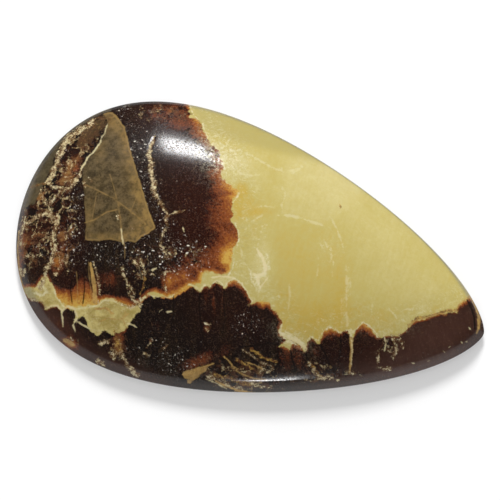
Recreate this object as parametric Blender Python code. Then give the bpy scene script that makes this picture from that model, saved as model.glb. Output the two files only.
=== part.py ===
"""Pear cut calcite cabochon: one polished stone with a flat back.

The stone lies on its flat back at z = 0 with its point towards +X. The origin is the middle of its
outline on the back. Units are metres.

Every level of the stone is a pear outline. The outline is widest at the girdle, and each level above
or below it is set in from the girdle by a distance called the inset. Outlines near the top of the
dome have a rounder point than the girdle, so that the dome is smooth all over.
"""

import math

import bmesh
import bpy

MM = 0.001

# Driving dimensions
LENGTH = 38.0 * MM
WIDTH = 22.8 * MM
THICKNESS = 5.4 * MM

# Plan: the top of the dome lies nearer the round end than the point
DOME_TOP_X = -3.5 * MM
TIP_INSET_SHARE = 1.25

# Pear outline: how fast it closes at the point, and two terms that flatten its flanks
POINT_POWER = 0.674
FLANK_SLOPE = -0.646
FLANK_CURVE = 0.295

# How much the point is rounded off, at the girdle and in the outlines near the top of the dome
GIRDLE_ROUNDING = 0.0015
DOME_ROUNDING = 1.6

# Heights and insets of the wall round the stone
BACK_INSET = 0.60 * MM
CHAMFER_TOP_Z = 0.50 * MM
CHAMFER_TOP_INSET = 0.04 * MM
GIRDLE_Z = 0.70 * MM
SHOULDER_Z = 1.80 * MM
SHOULDER_INSET = 0.48 * MM
SHOULDER_ROUNDING = 0.42 * MM

# Dome: a higher power makes its middle flatter and its shoulder steeper
DOME_POWER = 2.12

# Facets: points round the stone, rings from the shoulder to the top, and steps round the shoulder
POINTS_ROUND = 116
DOME_RINGS = 29
DOME_RING_BIAS = 1.15
SHOULDER_STEPS = 4
SHARP_ANGLE = math.radians(40.0)

STONE_COLOUR = (0.36, 0.27, 0.09, 1.0)
STONE_ROUGHNESS = 0.12


def clear_scene():
    """Removes every object of the scene that Blender started with."""
    for obj in list(bpy.data.objects):
        bpy.data.objects.remove(obj, do_unlink=True)


def pear_width(share, share_in):
    """Half-width of a pear outline over its sine, at a share of the way from round end to point.

    An outline at share_in 0 is the girdle's. At 1 it is almost an ellipse, at the top of the dome.
    """
    pear = (1.0 - share_in) ** 2
    flank = 1.0 + pear * (FLANK_SLOPE * share + FLANK_CURVE * share**2)
    rounding = GIRDLE_ROUNDING + DOME_ROUNDING * share_in**2
    return flank * (1.0 - share + rounding) ** (POINT_POWER - 0.5)


def widest(share_in, samples=POINTS_ROUND * 4):
    """The largest half-width that pear_width gives an outline, which scales it to its true width."""
    angles = (2.0 * math.pi * i / samples for i in range(1, samples // 2))
    return max(math.sin(a) * pear_width((1.0 + math.cos(a)) / 2.0, share_in) for a in angles)


def outline_point(angle, inset, peak):
    """X and Y of a point on the outline at this inset. Angle 0 is the point of the pear."""
    share_in = inset / (WIDTH / 2.0)
    tip_rate = TIP_INSET_SHARE * WIDTH / 2.0
    tip_reach = LENGTH / 2.0 - DOME_TOP_X
    end_reach = LENGTH / 2.0 + DOME_TOP_X
    right = LENGTH / 2.0 - tip_rate * share_in - (tip_reach - tip_rate) * share_in**2
    left = -LENGTH / 2.0 + inset + (end_reach - WIDTH / 2.0) * share_in**2
    share = (1.0 + math.cos(angle)) / 2.0
    x = left + (right - left) * share
    y = (WIDTH / 2.0 - inset) * math.sin(angle) * pear_width(share, share_in) / peak
    return x, y


def dome_height(inset):
    """Height of the dome's surface at this inset from the girdle."""
    share_in = (inset - SHOULDER_INSET) / (WIDTH / 2.0 - SHOULDER_INSET)
    return SHOULDER_Z + (THICKNESS - SHOULDER_Z) * (1.0 - (1.0 - share_in) ** DOME_POWER)


def wall_levels():
    """(inset, height) of each ring from the flat back up to the shoulder, bottom first."""
    lean = SHOULDER_INSET / (SHOULDER_Z - GIRDLE_Z)
    below = SHOULDER_ROUNDING
    return [
        (BACK_INSET, 0.0),
        (CHAMFER_TOP_INSET, CHAMFER_TOP_Z),
        (0.0, GIRDLE_Z),
        (lean * (SHOULDER_Z - below - GIRDLE_Z), SHOULDER_Z - below),
    ]


def dome_levels():
    """(inset, height) of each ring of the dome, from just past the shoulder to near the top."""
    start = SHOULDER_INSET + SHOULDER_ROUNDING
    span = WIDTH / 2.0 - start
    shares = ((i / DOME_RINGS) ** DOME_RING_BIAS for i in range(DOME_RINGS))
    insets = [start + span * share for share in shares]
    return [(inset, dome_height(inset)) for inset in insets]


def shoulder_levels():
    """(inset, height) of each ring on the rounded shoulder, whose curve bends away from a sharp edge."""
    outer = wall_levels()[-1]
    inner = dome_levels()[0]
    sharp = (SHOULDER_INSET, SHOULDER_Z)
    rings = []
    for step in range(1, SHOULDER_STEPS):
        t = step / SHOULDER_STEPS
        parts = ((1.0 - t) ** 2, 2.0 * t * (1.0 - t), t**2)
        corners = zip(outer, sharp, inner)
        rings.append(tuple(sum(p * c for p, c in zip(parts, trio)) for trio in corners))
    return rings


def shape_stone(bm, levels):
    """Moves the rings of a ball onto the levels of the stone, its top pole to the top of the dome."""
    rings = len(levels) + 1
    peaks = [widest(inset / (WIDTH / 2.0)) for inset, _ in levels]
    for vert in bm.verts:
        polar = math.acos(max(-1.0, min(1.0, vert.co.z)))
        ring = round(polar / math.pi * rings)
        if ring == 0:
            vert.co = (DOME_TOP_X, 0.0, THICKNESS)
            continue
        if ring == rings:
            vert.co = (DOME_TOP_X, 0.0, 0.0)
            continue
        inset, height = levels[len(levels) - ring]
        angle = math.atan2(vert.co.y, vert.co.x)
        x, y = outline_point(angle, inset, peaks[len(levels) - ring])
        vert.co = (x, y, height)


def stone_material():
    """The polished stone's plain finish: between its yellow and its brown calcite."""
    material = bpy.data.materials.new("polished_calcite")
    material.use_nodes = True
    shader = material.node_tree.nodes["Principled BSDF"]
    shader.inputs["Base Color"].default_value = STONE_COLOUR
    shader.inputs["Roughness"].default_value = STONE_ROUGHNESS
    shader.inputs["Metallic"].default_value = 0.0
    return material


def build_cabochon(collection):
    """The whole stone: flat back, chamfer, leaning wall, rounded shoulder and dome."""
    levels = wall_levels() + shoulder_levels() + dome_levels()
    bm = bmesh.new()
    bmesh.ops.create_uvsphere(bm, u_segments=POINTS_ROUND, v_segments=len(levels) + 1, radius=1.0)
    shape_stone(bm, levels)
    bmesh.ops.recalc_face_normals(bm, faces=bm.faces)
    mesh = bpy.data.meshes.new("cabochon")
    bm.to_mesh(mesh)
    bm.free()
    mesh.shade_smooth()
    mesh.set_sharp_from_angle(angle=SHARP_ANGLE)
    mesh.materials.append(stone_material())
    stone = bpy.data.objects.new("cabochon", mesh)
    collection.objects.link(stone)
    return stone


def main():
    """Builds the object in a collection of its own."""
    clear_scene()
    collection = bpy.data.collections.new("pear_cut_calcite")
    bpy.context.scene.collection.children.link(collection)
    build_cabochon(collection)


main()
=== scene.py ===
"""Looks of the pear cut calcite cabochon, its plain studio and the camera.

The stone is one closed piece with a flat back, a low sloping wall and a domed top. Its pattern is
that of septarian calcite: yellow calcite that filled a crack, dark brown crystals that grew into it
from the walls, a chip of grey mudstone, and cream seams. The pattern's outlines are written in
pixels of a 500 by 500 frame seen by the camera, and each point of the stone finds its place among
them by where that camera sees it. The pattern runs down through the stone, so that the wall and the
back show it too.
"""

from __future__ import annotations

import logging
import math
from collections.abc import Sequence
from dataclasses import dataclass
from enum import Enum

import bpy
import numpy as np
from mathutils import Matrix, Vector


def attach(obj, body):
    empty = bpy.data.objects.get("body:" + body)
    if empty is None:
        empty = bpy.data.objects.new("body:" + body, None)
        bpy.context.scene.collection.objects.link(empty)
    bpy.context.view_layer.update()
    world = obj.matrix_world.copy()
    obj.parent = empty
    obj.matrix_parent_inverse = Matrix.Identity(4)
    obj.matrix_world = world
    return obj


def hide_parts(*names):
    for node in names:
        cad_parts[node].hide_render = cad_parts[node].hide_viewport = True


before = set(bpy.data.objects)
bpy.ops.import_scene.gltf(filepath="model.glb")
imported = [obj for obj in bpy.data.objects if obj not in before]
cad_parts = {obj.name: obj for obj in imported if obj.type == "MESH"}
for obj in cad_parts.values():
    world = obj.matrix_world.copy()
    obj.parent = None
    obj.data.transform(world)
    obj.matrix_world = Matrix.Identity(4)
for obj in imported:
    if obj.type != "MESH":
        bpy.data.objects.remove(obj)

LOG = logging.getLogger("cabochon")
MM = 0.001
FRAME_PX = 500.0
# Most values of a noise lie between these two
MIDDLE = (0.3, 0.7)

Point = tuple[float, float]
Colour = tuple[float, float, float]
EdgePoint = tuple[float, float, float, float]
Socket = bpy.types.NodeSocket


@dataclass(frozen=True)
class PearShape:
    """Sizes of the cabochon, in metres, and the outlines and heights that follow from them.

    Each level of the stone is a pear outline, set in from the widest one by its inset. The width
    is a hair under 22.8 mm, so that this fine outline stays within the faceted solid's box.
    """

    length: float = 38.0 * MM
    width: float = 22.795 * MM
    thickness: float = 5.4 * MM
    dome_top_x: float = -3.5 * MM
    tip_inset_share: float = 1.25
    point_power: float = 0.674
    flank_slope: float = -0.646
    flank_curve: float = 0.295
    girdle_rounding: float = 0.0015
    dome_rounding: float = 1.6
    back_inset: float = 0.60 * MM
    chamfer_top_z: float = 0.50 * MM
    chamfer_top_inset: float = 0.04 * MM
    girdle_z: float = 0.70 * MM
    shoulder_z: float = 1.80 * MM
    shoulder_inset: float = 0.48 * MM
    shoulder_rounding: float = 0.42 * MM
    shoulder_steps: int = 4
    dome_power: float = 2.12
    outline_samples: int = 900
    level_samples: int = 400

    def half_width(self, share: np.ndarray, share_in: np.ndarray) -> np.ndarray:
        """Half-width of an outline over its sine, before it is scaled to its true width.

        Args:
            share: Place along the outline, from 0 at the round end to 1 at the point.
            share_in: The outline's inset over half the stone's width.

        Returns:
            The unscaled half-width at each place.
        """
        pear = (1.0 - share_in) ** 2
        flank = 1.0 + pear * (self.flank_slope * share + self.flank_curve * share**2)
        rounding = self.girdle_rounding + self.dome_rounding * share_in**2
        return flank * (1.0 - share + rounding) ** (self.point_power - 0.5)

    def widest(self, share_in: np.ndarray) -> np.ndarray:
        """The largest unscaled half-width of each outline.

        Args:
            share_in: Insets over half the stone's width.

        Returns:
            The largest of half_width times sine, for each inset.
        """
        levels = np.linspace(0.0, 1.0, self.level_samples)
        angles = np.linspace(0.01, math.pi - 0.01, self.outline_samples)
        share = (1.0 + np.cos(angles)) / 2.0
        grid = np.sin(angles) * self.half_width(share[None, :], levels[:, None])
        return np.interp(share_in, levels, grid.max(axis=1))

    def outline(self, angle: np.ndarray, inset: np.ndarray) -> tuple[np.ndarray, np.ndarray]:
        """Points on the outlines at these insets.

        Args:
            angle: Angle round the stone, 0 at its point.
            inset: Distance in from the girdle, in metres.

        Returns:
            The points' x and y, in metres.
        """
        half = self.width / 2.0
        share_in = inset / half
        tip_rate = self.tip_inset_share * half
        tip_reach = self.length / 2.0 - self.dome_top_x
        end_reach = self.length / 2.0 + self.dome_top_x
        right = self.length / 2.0 - tip_rate * share_in - (tip_reach - tip_rate) * share_in**2
        left = -self.length / 2.0 + inset + (end_reach - half) * share_in**2
        share = (1.0 + np.cos(angle)) / 2.0
        scale = self.half_width(share, share_in) / self.widest(share_in)
        return left + (right - left) * share, (half - inset) * np.sin(angle) * scale

    def dome_height(self, inset: np.ndarray) -> np.ndarray:
        """Height of the dome.

        Args:
            inset: Distances in from the girdle, in metres.

        Returns:
            The heights, in metres.
        """
        run = self.width / 2.0 - self.shoulder_inset
        left_over = np.clip(1.0 - (inset - self.shoulder_inset) / run, 0.0, 1.0)
        rise = self.thickness - self.shoulder_z
        return self.shoulder_z + rise * (1.0 - left_over**self.dome_power)

    def wall_knots(self) -> tuple[tuple[float, float], ...]:
        """The edge lines of the wall, from the back up to where the dome starts.

        Returns:
            Inset and height of each line, in metres. The last few follow the rounded
            shoulder, whose curve bends away from a sharp edge.
        """
        lean = self.shoulder_inset / (self.shoulder_z - self.girdle_z)
        low = self.shoulder_z - self.shoulder_rounding
        start = self.shoulder_inset + self.shoulder_rounding
        outer = (lean * (low - self.girdle_z), low)
        sharp = (self.shoulder_inset, self.shoulder_z)
        inner = (start, float(self.dome_height(np.array(start))))
        knots = [
            (self.back_inset, 0.0),
            (self.chamfer_top_inset, self.chamfer_top_z),
            (0.0, self.girdle_z),
        ]
        for t in np.linspace(0.0, 1.0, self.shoulder_steps + 1):
            parts = ((1.0 - t) ** 2, 2.0 * t * (1.0 - t), t**2)
            trios = zip(outer, sharp, inner)
            knots.append(tuple(float(np.dot(parts, trio)) for trio in trios))
        return tuple(knots)

    def top_height(self, inset: np.ndarray) -> np.ndarray:
        """Height of the surface that is seen from above.

        Args:
            inset: Distances in from the girdle, in metres.

        Returns:
            The heights, in metres.
        """
        knots = self.wall_knots()[2:]
        wall = np.interp(inset, [k[0] for k in knots], [k[1] for k in knots])
        return np.where(inset < knots[-1][0], wall, self.dome_height(inset))


@dataclass(frozen=True)
class PhotoCamera:
    """The camera: where it stands, how long its lens is and where in the frame the stone lies."""

    azimuth_deg: float = 16.8
    elevation_deg: float = 75.0
    distance: float = 0.50
    sensor_mm: float = 36.0
    frame_width: float = 39.52 * MM
    stone_px: Point = (253.0, 266.0)
    stone_centre_z: float = 0.9 * MM
    clip: Point = (0.01, 10.0)

    def axes(self) -> tuple[np.ndarray, np.ndarray, np.ndarray]:
        """The camera's directions.

        Returns:
            Its right, up and backward directions.
        """
        a, e = math.radians(self.azimuth_deg), math.radians(self.elevation_deg)
        back = np.array((math.sin(a) * math.cos(e), -math.cos(a) * math.cos(e), math.sin(e)))
        right = np.array((math.cos(a), math.sin(a), 0.0))
        return right, np.cross(back, right), back

    def lens_mm(self) -> float:
        """Focal length that makes the frame as wide as it should be at the stone."""
        return self.sensor_mm * self.distance / self.frame_width

    def place(self) -> np.ndarray:
        """Where the camera stands.

        Returns:
            Its place, in metres.
        """
        right, up, back = self.axes()
        metres_per_px = self.frame_width / FRAME_PX
        aim = np.array((0.0, 0.0, self.stone_centre_z))
        aim = aim - right * (self.stone_px[0] - FRAME_PX / 2.0) * metres_per_px
        aim = aim + up * (self.stone_px[1] - FRAME_PX / 2.0) * metres_per_px
        return aim + back * self.distance

    def to_pixels(self, points: np.ndarray) -> tuple[np.ndarray, np.ndarray]:
        """Where points of the stone appear in the frame.

        Args:
            points: An (n, 3) array of places, in metres.

        Returns:
            Their columns and rows, in pixels from the frame's upper left corner.
        """
        right, up, back = self.axes()
        seen = points - self.place()
        depth = -(seen @ back)
        focal = self.lens_mm() / self.sensor_mm * FRAME_PX
        return (
            FRAME_PX / 2.0 + focal * (seen @ right) / depth,
            FRAME_PX / 2.0 - focal * (seen @ up) / depth,
        )

    def build(self) -> bpy.types.Object:
        """Makes the camera and sets it as the scene's.

        Returns:
            The camera object.
        """
        data = bpy.data.cameras.new("camera")
        data.sensor_width = self.sensor_mm
        data.lens = self.lens_mm()
        data.clip_start, data.clip_end = self.clip
        camera = bpy.data.objects.new("camera", data)
        bpy.context.scene.collection.objects.link(camera)
        right, up, back = self.axes()
        turn = Matrix((right, up, back)).transposed()
        camera.matrix_world = Matrix.Translation(Vector(self.place())) @ turn.to_4x4()
        bpy.context.scene.camera = camera
        return camera


class Seam(Enum):
    """What fills a seam, a crack or a fleck. The value names its layer on the stone."""

    CREAM = "cream"
    THREAD = "thread"
    GOLD = "gold"
    LINE = "line"
    TAN = "tan"
    PALE = "pale"
    FAINT = "faint"
    DARK = "dark"

    def stroke(self, start: float, end: float, *line: Point) -> Stroke:
        """A stroke with this filling."""
        return Stroke(self, start, end, line)


@dataclass(frozen=True)
class Stroke:
    """A seam or fleck along a line. Its width in pixels runs from start to end."""

    fill: Seam
    start: float
    end: float
    line: tuple[Point, ...]


@dataclass(frozen=True)
class Pool:
    """A soft oval spot: centre, half-sizes in pixels, turn in degrees and strength."""

    x: float
    y: float
    rx: float
    ry: float
    turn: float = 0.0
    strength: float = 1.0


# Outlines of the two masses of brown crystals. Each point is (column, row, reach, light): how far
# in light comes there, in pixels, and how strong it is, from 0 for none to 1.
UPPER_CRYSTALS = (
    (188, 88, 8, 0.5), (188.6, 103.6, 8, 0.6), (190.7, 109.3, 8, 0.75), (187, 111.5, 2, 0.1),
    (191.4, 113.3, 2, 0.1), (188.6, 116.5, 6, 0.5), (196, 118.5, 16, 0.72),
    (202.9, 124.3, 20, 0.82), (202, 129.3, 18, 0.66), (205.7, 133.6, 14, 0.6),
    (207, 139, 14, 0.55), (211, 143.6, 12, 0.55), (218.6, 150.7, 14, 0.55),
    (222.9, 163.6, 16, 0.55), (223.6, 169.3, 18, 0.6), (220, 175, 18, 0.55),
    (225, 180.7, 24, 0.66), (225.7, 184.3, 24, 0.72), (230.7, 185, 24, 0.88),
    (238.4, 191.4, 26, 0.92), (234.3, 197.1, 30, 0.78), (231.4, 202.1, 34, 0.58),
    (232.1, 207.9, 34, 0.52), (232.1, 216.4, 34, 0.5), (231, 222, 34, 0.48),
    (232.9, 223.6, 34, 0.47), (237.1, 230.7, 36, 0.5), (237.9, 237.9, 38, 0.52),
    (235.7, 245, 32, 0.64), (232.5, 248.3, 20, 0.9), (232.3, 256, 16, 1), (231.7, 263.3, 16, 1),
    (230, 270, 14, 1), (228.3, 273.3, 10, 0.95), (221.7, 274.2, 10, 0.6), (213.3, 272.5, 8, 0.8),
    (205, 271.7, 8, 0.9), (201.7, 275, 8, 0.95), (200, 283.3, 8, 0.9), (190, 284, 10, 0.8),
    (183, 289, 10, 0.85), (172, 296, 10, 0.85), (163, 295, 7, 0.85), (155, 291, 5, 0.8),
    (149, 293, 5, 0.6), (143, 297, 4, 0.5), (140, 300.7, 4, 0.6), (131.7, 307, 9, 0.85),
    (122, 303, 9, 0.85), (112, 298.6, 5, 0.7), (104.6, 298.6, 6, 0.7), (98, 304, 16, 1),
    (89.4, 305, 32, 1), (77, 307, 36, 1), (64, 305, 32, 1), (57, 297, 20, 0.95),
    (52.5, 285.6, 4, 0.4), (47, 275.8, 4, 0.4), (41.7, 278, 4, 0.4), (36.3, 286.6, 5, 0.6),
    (27.6, 287.7, 6, 0.7), (-5, 290, 6, 0.7), (-5, 88, 2, 0),
)

LOWER_CRYSTALS = (
    (-5, 292, 5, 0.6), (22, 292, 5, 0.6), (31, 298.6, 4, 0.5), (41.7, 301.8, 3, 0.4),
    (46, 309.4, 4, 0.4), (52, 306.5, 4, 0.4), (56.9, 306, 4, 0.35), (61.2, 311.6, 2, 0.2),
    (66.6, 307, 2, 0.2), (74.2, 310.5, 2, 0.2), (76.4, 318, 2, 0.2), (73, 323, 2, 0.1),
    (79, 317, 2, 0.1), (84, 315, 2, 0.1), (89, 327, 2, 0.1), (90.5, 331, 2, 0.1),
    (98, 335.5, 2, 0.1), (104.6, 331, 2, 0.1), (109, 333, 2, 0.1), (113.5, 337.5, 2, 0.1),
    (115.4, 333, 2, 0.3), (120, 331.5, 3, 0.5), (124, 331, 3, 0.5), (128.5, 325.7, 2, 0.1),
    (135, 316, 2, 0.1), (140.4, 310.5, 2, 0.1), (140, 301.5, 2, 0.1), (144, 298, 2, 0.1),
    (150, 294.5, 2, 0.1), (155, 297.5, 2, 0.1), (163, 296.5, 2, 0.1), (172, 297.5, 2, 0.1),
    (180, 291, 2, 0.1), (188.3, 284.6, 2, 0.25), (194, 287.5, 3, 0.3), (200, 291.7, 3, 0.3),
    (203, 287.5, 4, 0.5), (207.5, 285.8, 4, 0.5), (210.3, 288.3, 3, 0.4), (213, 284, 4, 0.45),
    (216.7, 281.8, 4, 0.45), (221, 284.5, 4, 0.4), (224.2, 289.2, 3, 0.4), (227.5, 284, 6, 0.7),
    (234.2, 280, 7, 0.85), (240, 284, 7, 0.7), (244.4, 289.5, 6, 0.5), (248.3, 296.7, 5, 0.5),
    (250.8, 301.7, 4, 0.4), (249.2, 305, 3, 0.3), (256.7, 300.8, 7, 0.9), (263, 302, 9, 0.95),
    (270, 301.7, 8, 0.95), (271.7, 308.3, 5, 0.6), (278.3, 315, 4, 0.5), (281.7, 321.7, 4, 0.5),
    (279.2, 328.3, 4, 0.45), (279.2, 335, 3, 0.4), (286.7, 340, 3, 0.4), (280, 345, 2, 0.3),
    (278.5, 347, 3, 0.5), (283.3, 345.8, 6, 0.65), (287, 347.5, 6, 0.6), (290, 350.8, 4, 0.4),
    (291.5, 344.8, 6, 0.6), (294.2, 343.3, 7, 0.65), (300, 346.7, 7, 0.6), (305.8, 351.7, 3, 0.4),
    (307.5, 342.5, 3, 0.3), (310.8, 338, 4, 0.4), (316.7, 341.7, 4, 0.35), (319.5, 344, 3, 0.3),
    (321, 338.5, 5, 0.6), (323.5, 331.8, 8, 0.75), (329.2, 328.3, 9, 0.8), (335.5, 331, 7, 0.65),
    (340, 334.5, 5, 0.5), (343, 331.5, 4, 0.4), (347, 331.8, 3, 0.3), (349.5, 334.5, 2, 0.2),
    (350.5, 341, 2, 0.1), (352.5, 341, 2, 0.1), (354.5, 333.5, 4, 0.5), (358, 326.5, 8, 0.75),
    (363, 323.6, 10, 0.85), (370, 328.5, 8, 0.75), (375, 334, 6, 0.6), (378, 337.5, 4, 0.5),
    (385, 335.5, 4, 0.5), (390, 335, 4, 0.5), (395, 337.5, 3, 0.4), (400, 334, 3, 0.4),
    (404.5, 332, 3, 0.4), (408, 328.5, 3, 0.4), (411, 324.5, 3, 0.5), (416, 321, 3, 0.6),
    (423, 319.5, 3, 0.6), (430, 317.5, 3, 0.5), (437, 315, 3, 0.5), (440.5, 313.5, 3, 0.5),
    (445.5, 315.2, 3, 0.4), (447.5, 310.5, 3, 0.5), (451, 312.5, 3, 0.4), (456, 312.8, 3, 0.4),
    (458.5, 306, 5, 0.6), (465, 300.6, 6, 0.65), (470, 297.5, 6, 0.6), (476, 292, 6, 0.5),
    (505, 275, 6, 0.5), (505, 430, 2, 0), (-5, 430, 2, 0),
)

# The chip of mudstone and its crust along the far edge of the round end
CHIP = (
    (103.3, 113.9), (108, 111.9), (112.8, 112.5), (119, 119), (124.5, 127), (130.4, 150.7),
    (140, 182), (150, 214.7), (155.5, 227.7), (148, 233.5), (141, 237), (135.8, 242.5), (128, 241),
    (122.8, 242.6), (112, 239.5), (99, 240.8), (84.8, 240.2), (86, 225.6), (83.8, 187.6),
    (82.2, 172.4), (84.8, 161.6), (94, 153.5), (99.5, 145), (104, 136), (108, 123.5), (106.5, 119),
)

MUDSTONE_RIM = (
    (10, 212), (25, 208), (35, 203), (38.5, 193), (44, 184.5), (50, 172), (54.5, 158), (60, 146),
    (67, 136.5), (78, 128.5), (90, 120), (101, 113), (110, 112), (114, 96), (40, 90), (-5, 150),
)

# Where the yellow calcite is paler, and where it is deeper
PALE_PATCH = (
    (281, 172), (283.5, 184), (281.5, 200), (283.5, 213.5), (297, 214.5), (308, 220), (321, 224),
    (335, 218), (352, 205), (362, 190), (352, 172), (332, 156), (306, 152), (292, 160),
)

OCHRE_ZONE = (
    (278, 219), (322, 226), (334, 232), (342, 252), (346, 285), (348, 332), (306, 348), (284, 330),
    (277, 300), (268, 285), (272, 250),
)

# Painted shade: a darker strip along the far edge, past the dome's reflection of a large soft light
FAR_STRIP = (
    (186, 96), (192, 108), (200, 128), (212, 134), (241, 143), (270, 150), (299, 156), (318, 162),
    (330, 158), (270, 110), (220, 90),
)

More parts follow.
